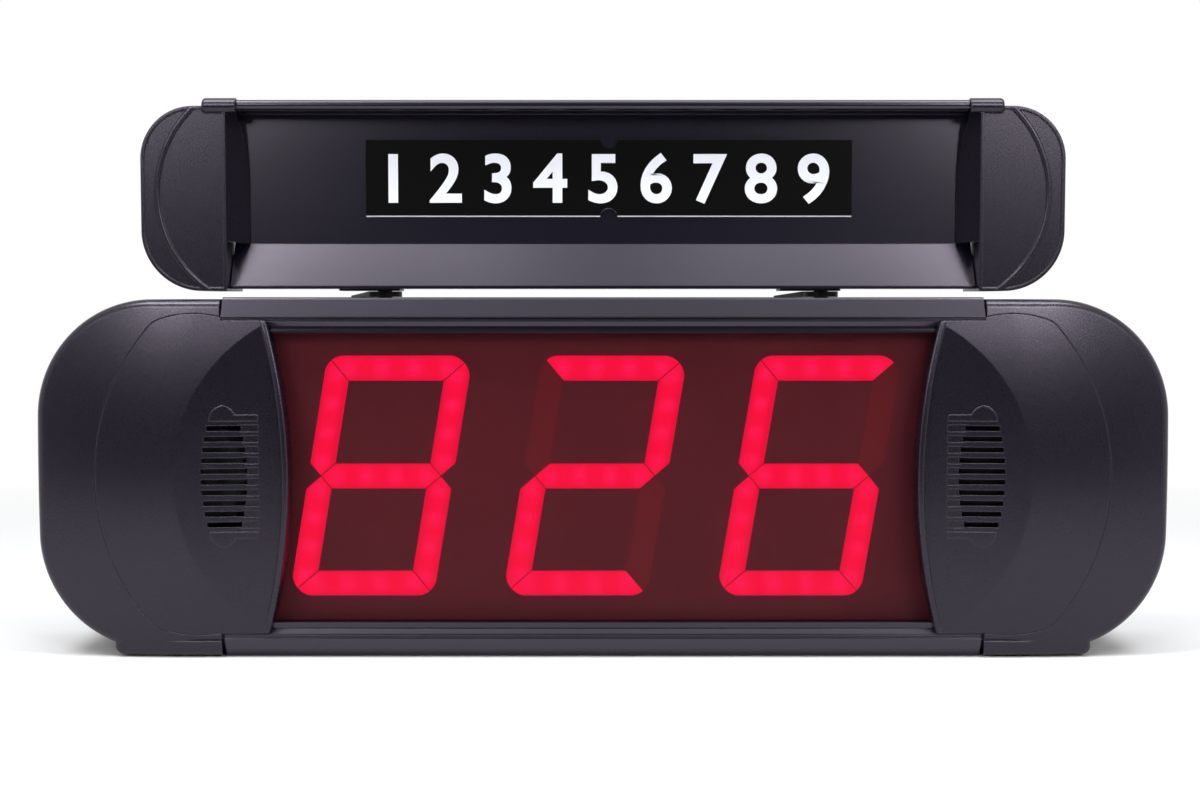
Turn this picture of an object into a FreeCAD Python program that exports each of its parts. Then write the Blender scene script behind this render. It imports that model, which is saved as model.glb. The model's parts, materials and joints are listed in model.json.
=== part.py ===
import FreeCAD, Part
import math
import os
from FreeCAD import Vector

# Queue number display: an extruded housing with moulded end caps and cheek covers, three
# seven-segment modules behind a red window, and a sign panel locked on top by two levers.
# Frame: millimetres, +X to the viewer's right, +Y towards the back, +Z up.
# The origin is the centre of the housing's flat underside.

# ---------------------------------------------------------------- driving dimensions
BODY_WIDTH = 470.5
BODY_HEIGHT = 150.0
BODY_DEPTH = 60.0
PROFILE_LENGTH = 315.0
CHAMFER_HEIGHT = 8.0
CHAMFER_DEPTH = 4.2
CHAMFER_EDGE_RADIUS = 1.5
REAR_RADIUS = 3.0
WALL = 2.2
CAP_WALL = 2.6
OPENING_HEIGHT = 121.0

MODULE_PITCH = 90.0
MODULE_HEIGHT = 122.0
MODULE_DEPTH = 16.0
DIGIT_HEIGHT = 101.6
DIGIT_WIDTH = 61.2
SEGMENT_WIDTH = 10.8
DIGIT_SLANT = 9.5
DIGIT_SHIFT = -3.4
SHOWN = ("8", "2", "6")

SIGN_WIDTH = 383.0
SIGN_LOW = 152.6
SIGN_HIGH = 229.0
LABEL_LENGTH = 205.0
LABEL_HEIGHT = 32.2
POST_SPACING = 187.0

# ---------------------------------------------------------------- places worked out from them
FRONT = -BODY_DEPTH / 2
BACK = BODY_DEPTH / 2
MIDDLE = BODY_HEIGHT / 2
SEAM = PROFILE_LENGTH / 2
HALF_WIDTH = BODY_WIDTH / 2
HALF_OPENING = OPENING_HEIGHT / 2

WINDOW_FRONT = FRONT + 6.8
WINDOW_THICK = 3.0
WINDOW_PLAY = 0.1
WINDOW_LAP = 3.4
SLOT_DEPTH = WINDOW_THICK + 2 * WINDOW_PLAY
WINDOW_LENGTH = 290.0
SLOT_BACK = WINDOW_FRONT + SLOT_DEPTH
RIB_BACK = SLOT_BACK + 1.8
MODULE_FRONT = SLOT_BACK + 1.4
MODULE_BACK = MODULE_FRONT + MODULE_DEPTH

BOARD = 1.6
DRIVER_FRONT = MODULE_BACK
MAIN_FRONT = 12.0
MAIN_BACK = MAIN_FRONT + BOARD
PANEL_BACK = BACK - WALL
PANEL_THICK = 1.5
CONTROL_Z = 42.0

DOME_RADIUS = 380.0
DOME_START = 168.0
CROWN_RADIUS = 560.0
CROWN_PROUD = 4.0
CROWN_FRONT = FRONT - CROWN_PROUD
CLEAR_FRONT = CROWN_FRONT - 2
SEAM_GAP = 0.25

SEGMENTS_OF = {"8": "abcdefg", "2": "abged", "6": "afgedc"}
NAMES = ("left", "centre", "right")

X, Y, Z = Vector(1, 0, 0), Vector(0, 1, 0), Vector(0, 0, 1)


# ---------------------------------------------------------------- small helpers
def box(x0, x1, y0, y1, z0, z1):
    return Part.makeBox(x1 - x0, y1 - y0, z1 - z0, Vector(x0, y0, z0))


def rod(start, axis, radius, length):
    """A cylinder from start along axis."""
    return Part.makeCylinder(radius, length, Vector(*start), axis)


def wire_of(points):
    """A closed wire. A plain point is a corner; a pair (middle, end) is an arc to end."""
    edges = []
    here = points[0]
    for step in points[1:] + [points[0]]:
        if isinstance(step, tuple):
            middle, end = step
            edges.append(Part.Arc(here, middle, end).toShape())
        else:
            end = step
            if here.distanceToPoint(end) > 1e-6:
                edges.append(Part.LineSegment(here, end).toShape())
        here = end
    return Part.Wire(edges)


def front_prism(points, y0, y1):
    """Extrude an outline drawn in X and Z from y0 back to y1."""

    def lift(point):
        return Vector(point[0], y0, point[1])

    steps = [tuple(lift(q) for q in p) if isinstance(p[0], tuple) else lift(p) for p in points]
    return Part.Face(wire_of(steps)).extrude(Vector(0, y1 - y0, 0))


def side_prism(points, x0, x1):
    """Extrude an outline drawn in Y and Z from x0 to x1."""

    def lift(point):
        return Vector(x0, point[0], point[1])

    steps = [tuple(lift(q) for q in p) if isinstance(p[0], tuple) else lift(p) for p in points]
    return Part.Face(wire_of(steps)).extrude(Vector(x1 - x0, 0, 0))


def top_prism(points, z0, z1):
    """Extrude an outline drawn in X and Y from z0 up to z1."""
    corners = [Vector(x, y, z0) for x, y in points]
    return Part.Face(wire_of(corners)).extrude(Vector(0, 0, z1 - z0))


def on_circle(centre, radius, degrees):
    angle = math.radians(degrees)
    return (centre[0] + radius * math.cos(angle), centre[1] + radius * math.sin(angle))


def blend(before, corner, after, radius):
    """Round a corner of an outline: the start of the arc, then a pair (middle, end)."""
    arm_in = Vector(before[0] - corner[0], before[1] - corner[1], 0).normalize()
    arm_out = Vector(after[0] - corner[0], after[1] - corner[1], 0).normalize()
    half = arm_in.getAngle(arm_out) / 2
    middle = (arm_in + arm_out).normalize() * (radius / math.sin(half) - radius)
    reach = radius / math.tan(half)
    start, end = arm_in * reach, arm_out * reach
    arc = [(corner[0] + step.x, corner[1] + step.y) for step in (start, middle, end)]
    return [arc[0], (arc[1], arc[2])]


def joined(shapes):
    """Fuse pieces that touch into one solid."""
    first = shapes[0]
    return first.fuse(shapes[1:]).removeSplitter() if len(shapes) > 1 else first


def group(shapes):
    """Separate solids that share one node."""
    return Part.makeCompound(shapes)


def mirrored(shape):
    return shape.mirror(Vector(0, 0, 0), X)


def rounded(shape, radius, wanted):
    """Round the edges for which wanted(edge) is true."""
    return shape.makeFillet(radius, [edge for edge in shape.Edges if wanted(edge)])


def runs_along(axis):
    """A test for straight edges parallel to axis."""

    def test(edge):
        first, last = edge.Vertexes[0].Point, edge.Vertexes[-1].Point
        step = last - first
        return step.Length > 1e-6 and abs(abs(step.dot(axis)) - step.Length) < 1e-6

    return test


# ---------------------------------------------------------------- housing profile
def outer_section():
    """The outline of the housing profile, in Y and Z."""
    low_front, high_front = (FRONT, CHAMFER_HEIGHT), (FRONT, BODY_HEIGHT - CHAMFER_HEIGHT)
    low_edge, high_edge = (FRONT + CHAMFER_DEPTH, 0.0), (FRONT + CHAMFER_DEPTH, BODY_HEIGHT)
    low_back, high_back = (BACK, 0.0), (BACK, BODY_HEIGHT)
    return (
        [low_front]
        + blend(low_front, low_edge, low_back, CHAMFER_EDGE_RADIUS)
        + blend(low_edge, low_back, high_back, REAR_RADIUS)
        + blend(low_back, high_back, high_edge, REAR_RADIUS)
        + blend(high_back, high_edge, high_front, CHAMFER_EDGE_RADIUS)
        + [high_front]
    )


def half_box(y0, y1, h0, h1, side):
    """A bar of the profile, h0 to h1 from the middle plane, above (1) or below (-1) it."""
    z0, z1 = sorted((MIDDLE + side * h0, MIDDLE + side * h1))
    return box(-SEAM, SEAM, y0, y1, z0, z1)


# The steps of the rim around the opening: depth behind the front, height from the middle plane.
RIM_STEPS = [
    (-1.0, 66.8), (1.2, 66.8), (1.2, 66.1), (0.8, 66.1), (0.8, 65.5), (1.3, 65.5), (1.3, 65.1),
    (0.9, 65.1), (2.3, 63.1), (3.4, 63.1), (3.4, 61.6), (2.2, 61.6), (2.2, 60.0), (-1.0, 60.0),
]


def along_profile(steps, x0, x1, side):
    """A bar whose outline is given as depth and height, above (1) or below (-1) the middle."""
    return side_prism([(FRONT + depth, MIDDLE + side * height) for depth, height in steps], x0, x1)


def rim_cuts(side):
    """The stepped rim in front of the window and the slot that holds the window, on one side."""
    return [
        along_profile(RIM_STEPS, -SEAM, SEAM, side),
        half_box(WINDOW_FRONT, SLOT_BACK, HALF_OPENING - 1, HALF_OPENING + WINDOW_LAP + 0.3, side),
    ]


CHAMFER_SKIN = 1.4
CHAMBER_LIFT = 0.2
RIB_RELIEF = 1.6


def inner_cavity():
    """The hollow of the profile: the main space with the two chambers behind the chamfers."""
    lean = CHAMFER_DEPTH / CHAMFER_HEIGHT
    shelf = MIDDLE - CHAMFER_HEIGHT + CHAMBER_LIFT
    roof = MIDDLE - WALL
    corner = FRONT + CHAMFER_DEPTH + CHAMFER_SKIN
    points = [
        (RIB_BACK, MIDDLE - shelf),
        (corner - (roof - shelf) * lean, MIDDLE - shelf),
        (corner, MIDDLE - roof),
        (BACK - WALL, MIDDLE - roof),
        (BACK - WALL, MIDDLE + roof),
        (corner, MIDDLE + roof),
        (corner - (roof - shelf) * lean, MIDDLE + shelf),
        (RIB_BACK, MIDDLE + shelf),
    ]
    return side_prism(points, -SEAM - 1, SEAM + 1)


PORT_RADIUS = 1.7
PORT_RING = 4.3
PORT_MOUTH = 1.4
PORT_PLACES = [(y, h) for y in (-12.0, 22.0) for h in (-68.6, 68.6)]


def screw_port(y, h):
    """A C-shaped screw port against the roof or floor of the profile."""
    z = MIDDLE + h
    ring = rod((-SEAM, y, z), X, PORT_RING, PROFILE_LENGTH)
    bore = rod((-SEAM, y, z), X, PORT_RADIUS, PROFILE_LENGTH)
    low, high = sorted((z, z - math.copysign(PORT_RING + 1, h)))
    mouth = box(-SEAM, SEAM, y - PORT_MOUTH / 2, y + PORT_MOUTH / 2, low, high)
    return ring, bore.fuse(mouth)


RAIL_THICK = 1.4
RAIL_HEIGHT = 3.0
RAIL_PLAY = 0.2


def board_rails(front):
    """Pairs of rails that hold a board by its upper and lower edges."""
    rails = []
    for side in (-1, 1):
        for y in (front - RAIL_THICK - RAIL_PLAY, front + BOARD + RAIL_PLAY):
            rail = half_box(y, y + RAIL_THICK, MIDDLE - WALL - RAIL_HEIGHT, MIDDLE - WALL, side)
            rails.append(rail.cut(key_notches()))
    return rails


MOUNT_X, MOUNT_Z = 100.0, 50.0
INSERT_OUTER = 3.2
INSERT_BORE = 2.0
INSERT_LENGTH = 10.0
INSERT_FLANGE = (5.0, 0.6)
PANEL_OPENING = (-62.0, 62.0, 24.0, 60.0)
PANEL_SCREWS = [(x, z) for x in (-68.0, 68.0) for z in (28.0, 56.0)]
PANEL_SCREW_RADIUS = 1.4
PANEL_SCREW_HEAD = (1.5, 3.0, 1.5)
PANEL_SCREW_LENGTH = 6.0
PANEL_HOLE = 1.65
PANEL_SINK = (1.5, 3.3, 1.8)
MOUNT_PLACES = [(x, MIDDLE + h) for x in (-MOUNT_X, MOUNT_X) for h in (-MOUNT_Z, MOUNT_Z)]

POST_X = POST_SPACING / 2
POST_Y = 0.3
STEM_RADIUS = 3.0
KEY_LENGTH, KEY_WIDTH = 13.0, 5.4
KEY_THICK = 3.1
KEY_GAP = 0.5
KEY_PLAY = 0.4
KEY_ROOM = 1.5
STEM_PLAY = 0.3


def key_notches():
    """Room under the roof for the keys of the two locking levers to turn."""
    reach = KEY_LENGTH / 2 + KEY_ROOM
    low, high = BODY_HEIGHT - WALL - KEY_THICK - KEY_ROOM, BODY_HEIGHT - WALL
    return [box(x - reach, x + reach, POST_Y - reach, POST_Y + reach, low, high)
            for x in (-POST_X, POST_X)]


def housing_profile():
    shell = side_prism(outer_section(), -SEAM, SEAM)
    shell = shell.cut(inner_cavity())
    shell = shell.cut(box(-SEAM - 1, SEAM + 1, FRONT - 1, RIB_BACK + 1,
                          MIDDLE - HALF_OPENING, MIDDLE + HALF_OPENING))
    rib_height = HALF_OPENING + RIB_RELIEF
    shell = shell.cut(box(-SEAM - 1, SEAM + 1, SLOT_BACK, RIB_BACK + 1,
                          MIDDLE - rib_height, MIDDLE + rib_height))
    shell = shell.cut([cut for side in (-1, 1) for cut in rim_cuts(side)])
    ports = [screw_port(y, h) for y, h in PORT_PLACES]
    rails = board_rails(DRIVER_FRONT) + board_rails(MAIN_FRONT)
    shell = shell.fuse([ring for ring, _ in ports] + rails).cut([bore for _, bore in ports])
    x0, x1, z0, z1 = PANEL_OPENING
    cuts = [box(x0, x1, BACK - 5, BACK + 1, z0, z1)]
    cuts += [rod((x, BACK - 5, z), Y, PANEL_HOLE, 6) for x, z in PANEL_SCREWS]
    cuts += [Part.makeCone(*PANEL_SINK, Vector(x, BACK - PANEL_SINK[2], z), Y) for x, z in PANEL_SCREWS]
    cuts += [rod((x, BACK - 5, z), Y, INSERT_OUTER, 6) for x, z in MOUNT_PLACES]
    for x in (-POST_X, POST_X):
        half, reach = KEY_WIDTH / 2 + KEY_PLAY, KEY_LENGTH / 2 + KEY_PLAY
        cuts.append(box(x - half, x + half, POST_Y - reach, POST_Y + reach,
                        BODY_HEIGHT - 5, BODY_HEIGHT + 1))
        cuts.append(rod((x, POST_Y, BODY_HEIGHT - 5), Z, STEM_RADIUS + STEM_PLAY, 6))
    return shell.cut(cuts).removeSplitter()


def mount_inserts():
    """Threaded inserts in the back wall for a wall or ceiling bracket."""
    inserts = []
    flange_radius, flange_thick = INSERT_FLANGE
    for x, z in MOUNT_PLACES:
        sleeve = rod((x, BACK - INSERT_LENGTH, z), Y, INSERT_OUTER, INSERT_LENGTH)
        flange = rod((x, BACK, z), Y, flange_radius, flange_thick)
        bore = rod((x, BACK - INSERT_LENGTH - 1, z), Y, INSERT_BORE, INSERT_LENGTH + 2)
        inserts.append(sleeve.fuse(flange).cut(bore).removeSplitter())
    return group(inserts)


# ---------------------------------------------------------------- end caps and cheek covers
CAP_INSET = 0.8
CAP_TOP = BODY_HEIGHT - CAP_INSET
CAP_LOW = 2.7
CAP_CORNER = 48.4
CAP_TOP_RADIUS = 9.0
CAP_LOW_RADIUS = 4.0
FOOT_X = -204.0
FOOT_CORNER = 3.4
FOOT_TOP = 7.0
FOOT_EDGE_RADIUS = 2.4
CROWN_TURN = 10.0


def cap_outline(inset):
    """The left end cap without its foot, seen from the front and drawn inset."""
    r = CAP_CORNER - inset
    x = -HALF_WIDTH + CAP_CORNER
    low, high = (x, CAP_LOW + CAP_CORNER), (x, CAP_TOP - CAP_CORNER)
    return [
        (-SEAM, CAP_LOW + inset),
        (x, CAP_LOW + inset),
        (on_circle(low, r, 225), (x - r, low[1])),
        (x - r, high[1]),
        (on_circle(high, r, 135), (x, CAP_TOP - inset)),
        (-SEAM, CAP_TOP - inset),
    ]


def crown(inset):
    """Everything behind the ends' front, which is crowned in height and falls back outwards."""
    axis = Vector(0, CROWN_FRONT + CROWN_RADIUS, MIDDLE)
    bend = (-DOME_START, CROWN_FRONT + DOME_RADIUS)
    radius = DOME_RADIUS - inset
    reach = HALF_WIDTH + 10

    def on_dome(x):
        return Vector(x, bend[1] - math.sqrt(radius**2 - (x - bend[0]) ** 2), MIDDLE)

    outline = wire_of([
        Vector(0, CROWN_FRONT + inset, MIDDLE),
        on_dome(-DOME_START),
        (on_dome(-(DOME_START + reach) / 2), on_dome(-reach)),
        Vector(-reach, BACK + 10, MIDDLE),
        Vector(0, BACK + 10, MIDDLE),
    ])
    body = Part.Face(outline).revolve(axis, X, 2 * CROWN_TURN)
    body.rotate(axis, X, -CROWN_TURN)
    return body


def cap_block(inset):
    """The cap as a solid, its front edge rounded widely at the top and less at the bottom."""
    block = front_prism(cap_outline(inset), CLEAR_FRONT, BACK - inset).common(crown(inset))
    block = block.removeSplitter()
    bottom = [edge for edge in block.Edges if is_cap_bottom_edge(edge)]
    return block.makeFillet(CAP_TOP_RADIUS - inset, CAP_LOW_RADIUS - inset, bottom[:1])


def is_cap_bottom_edge(edge):
    """The curved front edge between the cap's flat middle and its lower corner."""
    place = edge.BoundBox
    return place.YMax < FRONT + 12 and place.ZMax < 8 and -DOME_START - 30 < place.XMin < -DOME_START - 1


def cap_foot():
    """The flat foot under the cap, rounded towards the front and the end."""
    corner = (FOOT_X + FOOT_CORNER, CAP_INSET + FOOT_CORNER)
    outline = [
        (-SEAM, CAP_INSET),
        (corner[0], CAP_INSET),
        (on_circle(corner, FOOT_CORNER, 225), (FOOT_X, corner[1])),
        (FOOT_X, FOOT_TOP),
        (-SEAM, FOOT_TOP),
    ]
    foot = front_prism(outline, CLEAR_FRONT, BACK).common(crown(0)).removeSplitter()

    def is_front_edge(edge):
        place = edge.BoundBox
        return place.YMax < FRONT + 6 and place.ZMax < FOOT_TOP - 1 and place.XMin < -SEAM - 1

    return rounded(foot, FOOT_EDGE_RADIUS, is_front_edge)


CHEEK_TOP, CHEEK_BOTTOM = 140.4, 10.4
CHEEK_HIGH, CHEEK_LOW = 136.4, 17.0
HIGH_CORNER = [(-SEAM, 141.7), (-170.5, 143.1), (-181.6, 141.2), (-185.6, 139.4)]
LOW_CORNER = [(-186.0, 13.5), (-181.8, 11.7), (-170.0, 10.0), (-SEAM, 10.6)]
BIG_ARC = (-113.9, 76.0, 95.9)
RIDGE_ARC = (-366.3, MIDDLE, 236.7)
RIDGE_LAP = 1.0


def arc_x(arc, z, side):
    """The X at height z on an arc given as centre X, centre Z and radius."""
    return arc[0] + side * math.sqrt(arc[2] ** 2 - (z - arc[1]) ** 2)


def cheek_outline(grow, inner_x=None):
    """The cheek cover seen from the front, grown outwards; it ends inside the ridge by the window."""
    big = (BIG_ARC[0], BIG_ARC[1], BIG_ARC[2] + grow)
    high, low = CHEEK_HIGH + grow / 2, CHEEK_LOW - grow / 2
    top, bottom = CHEEK_TOP + grow, CHEEK_BOTTOM - grow
    ridge = (RIDGE_ARC[0], RIDGE_ARC[1], RIDGE_ARC[2] - RIDGE_LAP)
    if inner_x is None:
        start, end = arc_x(ridge, top, 1), arc_x(ridge, bottom, 1)
    else:
        start = end = inner_x

    def moved(point, out, up):
        return (point[0] - out * grow, point[1] + up * grow)

    outline = [
        (start, top),
        (-SEAM, top),
        moved(HIGH_CORNER[0], 0, 1),
        (moved(HIGH_CORNER[1], 0, 1), moved(HIGH_CORNER[2], 0.5, 1)),
        (moved(HIGH_CORNER[3], 1, 0.5), (arc_x(big, high, -1), high)),
        ((big[0] - big[2], big[1]), (arc_x(big, low, -1), low)),
        (moved(LOW_CORNER[0], 1, -0.5), moved(LOW_CORNER[1], 0.5, -1)),
        (moved(LOW_CORNER[2], 0, -1), moved(LOW_CORNER[3], 0, -1)),
        (-SEAM, bottom),
        (end, bottom),
    ]
    if inner_x is None:
        outline.append(((ridge[0] + ridge[2], ridge[1]), (start, top)))
    return outline


POCKET_FLOOR = FRONT + 6.4
CHEEK_BACK = POCKET_FLOOR - 0.1
LAND_WIDTH = 2.4
LAND_THICK = 2.2
LAND_INSIDE = 3.0
FLANGE_THICK = 3.0
FLANGE_HEIGHT = 26.0
FLANGE_FRONT = -18.0
CAP_SCREW_HOLE = 2.1
VENT_X = range(-220, -176, 6)
VENT_WIDTH = 2.2
VENT_Z = (56.0, 96.0)
SEAM_SLOT_TOP = 0.6
SEAM_SLOT_LOW = 1.2


def is_rear_edge(edge):
    """The edges round the back of the cap, apart from the one at the seam."""
    place = edge.BoundBox
    return place.YMin > BACK - 0.01 and place.XMin < -SEAM - 0.01


def end_cap():
    """The left end cap: a shell with a pocket in its front that the cheek cover drops into."""
    block = rounded(joined([cap_block(0), cap_foot()]), REAR_RADIUS, is_rear_edge)
    hollow = cap_block(CAP_WALL)
    foot_hollow = box(FOOT_X + 8, -SEAM, FRONT + 8, BACK - CAP_WALL, CAP_WALL, FOOT_TOP)
    shell = block.cut([hollow, foot_hollow])
    land = front_prism(cheek_outline(LAND_WIDTH, -SEAM + 1), FRONT + 2, POCKET_FLOOR + LAND_THICK)
    pocket = front_prism(cheek_outline(SEAM_GAP, -SEAM + 1), CLEAR_FRONT, POCKET_FLOOR)
    opening = front_prism(cheek_outline(-LAND_INSIDE, -SEAM + 1), CLEAR_FRONT, POCKET_FLOOR + 4)
    shell = shell.fuse(land.common(block)).cut([pocket, opening])
    flanges = []
    for z0, z1 in ((CAP_WALL, FLANGE_HEIGHT), (BODY_HEIGHT - FLANGE_HEIGHT, CAP_TOP - 1)):
        flanges.append(box(-SEAM - FLANGE_THICK, -SEAM, FLANGE_FRONT, BACK - CAP_WALL, z0, z1))
    shell = shell.fuse([flange.common(block) for flange in flanges])
    holes = [rod((-SEAM - 4, y, MIDDLE + h), X, CAP_SCREW_HOLE, 5) for y, h in PORT_PLACES]
    vents = [box(x, x + VENT_WIDTH, BACK - 4, BACK + 1, *VENT_Z) for x in VENT_X]
    return shell.cut(holes + vents + seam_slots()).removeSplitter()


SEAM_SLOT_DEPTH = 1.6


def seam_slots():
    """The shadow gap around the cap where it meets the profile, wider in its lower half."""
    inset = SEAM_SLOT_DEPTH
    front, back = FRONT + inset, BACK - inset
    low, high = CAP_INSET + inset, CAP_TOP - inset
    core = side_prism([
        (front, low + CHAMFER_HEIGHT),
        (front + CHAMFER_DEPTH, low),
        (back, low),
        (back, high),
        (front + CHAMFER_DEPTH, high),
        (front, high - CHAMFER_HEIGHT),
    ], -SEAM - 2, -SEAM)
    low = box(-SEAM - SEAM_SLOT_LOW, -SEAM, CLEAR_FRONT, BACK + 1, 0, MIDDLE)
    high = box(-SEAM - SEAM_SLOT_TOP, -SEAM, CLEAR_FRONT, BACK + 1, MIDDLE, BODY_HEIGHT)
    return [low.cut(core), high.cut(core)]


DISH_X = -104.0
DISH_RADIUS = 571.0
DISH_FLOOR = FRONT + 0.76
CHEEK_SKIN = 2.0
RIDGE_WIDTH = 2.8
RIDGE_PROUD = 0.4
RIDGE_ROUND = 1.0

GRILLE_SLOTS = 10
GRILLE_PITCH = 4.44
GRILLE_SLOT = 2.1
GRILLE_MIDDLE = 76.0
GRILLE_ARC_OUT = (-85.0, 81.0)
GRILLE_ARC_IN = (-228.1, 81.0)
GRILLE_BLIND_END = -142.4
GROOVE_WIDER = 0.4
GROOVE_DEPTH = 0.8
PAD_PROUD = 0.6


def dish(grow):
    """The large upright roller that scoops the shallow dish out of the cheek cover's front."""
    centre = Vector(DISH_X, DISH_FLOOR - DISH_RADIUS, -5)
    roller = Part.makeCylinder(DISH_RADIUS + grow, BODY_HEIGHT + 10, centre, Z)
    return roller.common(box(-HALF_WIDTH, -100, FRONT - 20, BACK, -5, BODY_HEIGHT + 5))


def ridge_bar():
    """The raised band along the window, rounded over at the front."""
    top, bottom = CHEEK_TOP, CHEEK_BOTTOM
    outer = (RIDGE_ARC[0], RIDGE_ARC[1], RIDGE_ARC[2] - RIDGE_WIDTH)
    bar = front_prism(
        [
            (arc_x(RIDGE_ARC, top, 1), top),
            (arc_x(outer, top, 1), top),
            ((outer[0] + outer[2], MIDDLE), (arc_x(outer, bottom, 1), bottom)),
            (arc_x(RIDGE_ARC, bottom, 1), bottom),
            ((RIDGE_ARC[0] + RIDGE_ARC[2], MIDDLE), (arc_x(RIDGE_ARC, top, 1), top)),
        ],
        CLEAR_FRONT,
        WINDOW_FRONT - 0.15,
    ).common(crown(-RIDGE_PROUD))
    return rounded(bar, RIDGE_ROUND, lambda e: e.BoundBox.YMax < FRONT + 1)


def grille_cuts():
    """Ten slots between two arcs, each carried on as a shallow groove towards the window."""
    cuts = []
    for i in range(GRILLE_SLOTS):
        z = GRILLE_MIDDLE + (i - (GRILLE_SLOTS - 1) / 2) * GRILLE_PITCH
        rise = z - GRILLE_MIDDLE
        left = GRILLE_ARC_OUT[0] - math.sqrt(GRILLE_ARC_OUT[1] ** 2 - rise**2)
        right = GRILLE_ARC_IN[0] + math.sqrt(GRILLE_ARC_IN[1] ** 2 - rise**2)
        half = GRILLE_SLOT / 2
        cuts.append(box(left, right, CLEAR_FRONT, POCKET_FLOOR + 3, z - half, z + half))
        blind = box(right - 0.5, GRILLE_BLIND_END, CLEAR_FRONT, FRONT + 10,
                    z - half - GROOVE_WIDER, z + half + GROOVE_WIDER)
        cuts.append(blind.common(dish(GROOVE_DEPTH)))
    return cuts


def pad_outline(side):
    """The outline of the raised pad above (1) or below (-1) the grille."""
    def at(x, rise):
        return (x, GRILLE_MIDDLE + side * rise)

    return [
        at(GRILLE_BLIND_END, 23.0),
        at(-162.4, 23.0),
        (at(-160.7, 27.4), at(-156.7, 29.4)),
        (at(-154.0, 28.3), at(-151.9, 25.6)),
        at(-143.4, 25.6),
        (at(GRILLE_BLIND_END - 0.2, 25.2), at(GRILLE_BLIND_END, 24.4)),
    ]


# What the cheek leaves free for the rim of the profile, in the same terms as RIM_STEPS.
CHEEK_CLEARANCE = [
    (0.75, 70.0), (0.75, 65.1), (2.05, 63.2), (2.05, 60.3), (BODY_DEPTH, 60.3), (BODY_DEPTH, 70.0),
]


def cheek_cover():
    """The left cheek cover: a thin moulding with a shallow dish, a grille and a ridge."""
    block = front_prism(cheek_outline(0), CLEAR_FRONT, CHEEK_BACK).common(crown(0))
    inner = front_prism(cheek_outline(-CHEEK_SKIN), CLEAR_FRONT, CHEEK_BACK + 1)
    inner = inner.common(crown(CHEEK_SKIN)).cut(dish(CHEEK_SKIN))
    skin = block.cut(dish(0)).cut(inner)
    pads = []
    for side in (1, -1):
        pad = front_prism(pad_outline(side), CLEAR_FRONT, FRONT + 8)
        pads.append(pad.common(dish(0.5)).cut(dish(-PAD_PROUD)))
    skin = skin.cut(grille_cuts()).fuse(pads)
    cover = skin.fuse(ridge_bar())
    keep_clear = [along_profile(CHEEK_CLEARANCE, -SEAM - 0.3, 0, side) for side in (1, -1)]
    keep_clear.append(box(-WINDOW_LENGTH / 2 - 0.5, 0, WINDOW_FRONT - 0.15, BACK, 0, BODY_HEIGHT))
    return cover.cut(keep_clear).removeSplitter()


CAP_SCREW_HEAD = (2.6, 2.2)
CAP_SCREW_LENGTH = 14.0
CAP_SCREW_RECESS = (1.2, 1.2)


def cap_screws():
    """Eight pan-head screws through the flanges of the caps into the profile's ports."""
    screws = []
    radius, height = CAP_SCREW_HEAD
    start = -SEAM - FLANGE_THICK
    for y, h in PORT_PLACES:
        z = MIDDLE + h
        head = rod((start - height, y, z), X, radius, height)
        shank = rod((start, y, z), X, PORT_RADIUS, CAP_SCREW_LENGTH)
        recess = rod((start - height, y, z), X, *CAP_SCREW_RECESS)
        screw = head.fuse(shank).cut(recess).removeSplitter()
        screws += [screw, mirrored(screw)]
    return group(screws)


# ---------------------------------------------------------------- window and digits
def display_window():
    """A red sheet that slides into the lips of the profile."""
    half = HALF_OPENING + WINDOW_LAP
    y0 = WINDOW_FRONT + WINDOW_PLAY
    x = WINDOW_LENGTH / 2
    return box(-x, x, y0, y0 + WINDOW_THICK, MIDDLE - half, MIDDLE + half)


def slanted(point, centre_x):
    x, z = point
    return (centre_x + x + z * math.tan(math.radians(DIGIT_SLANT)), MIDDLE + z)


def segment_shapes():
    """The seven segments of an upright digit, as corner lists about its centre."""
    w, h, t = DIGIT_WIDTH / 2, DIGIT_HEIGHT / 2, SEGMENT_WIDTH
    top = [(t - w, h - t), (w - t, h - t), (w, h), (-w, h)]
    upper_left = [(-w, h), (t - w, h - t), (t - w, t / 2), (t / 2 - w, 0), (-w, t / 2)]
    middle = [(t / 2 - w, 0), (t - w, t / 2), (w - t, t / 2),
              (w - t / 2, 0), (w - t, -t / 2), (t - w, -t / 2)]
    shapes = {"a": top, "f": upper_left, "g": middle}
    shapes["b"] = [(-x, z) for x, z in upper_left]
    shapes["e"] = [(x, -z) for x, z in upper_left]
    shapes["c"] = [(-x, -z) for x, z in upper_left]
    shapes["d"] = [(x, -z) for x, z in top]
    return shapes


WELL_DEPTH = 4.0
SEGMENT_GAP = 0.3
CORNER_RADIUS = 9.0


def digit_segments(centre_x):
    """Resin-filled segments, mitred with hairline gaps and rounded at the digit's corners."""
    w, h = DIGIT_WIDTH / 2, DIGIT_HEIGHT / 2
    corners = [slanted(p, centre_x) for p in ((-w, -h), (w, -h), (w, h), (-w, h))]
    y0 = MODULE_FRONT
    rim = front_prism(corners, y0, y0 + WELL_DEPTH)
    rim = rounded(rim, CORNER_RADIUS, lambda e: e.BoundBox.YLength > WELL_DEPTH / 2)
    segments = {}
    for letter, points in segment_shapes().items():
        outline = [Vector(x, y0, z) for x, z in (slanted(p, centre_x) for p in points)]
        face = Part.Face(wire_of(outline)).makeOffset2D(-SEGMENT_GAP / 2)
        segments[letter] = face.extrude(Vector(0, WELL_DEPTH, 0)).common(rim).Solids[0]
    return segments


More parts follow.
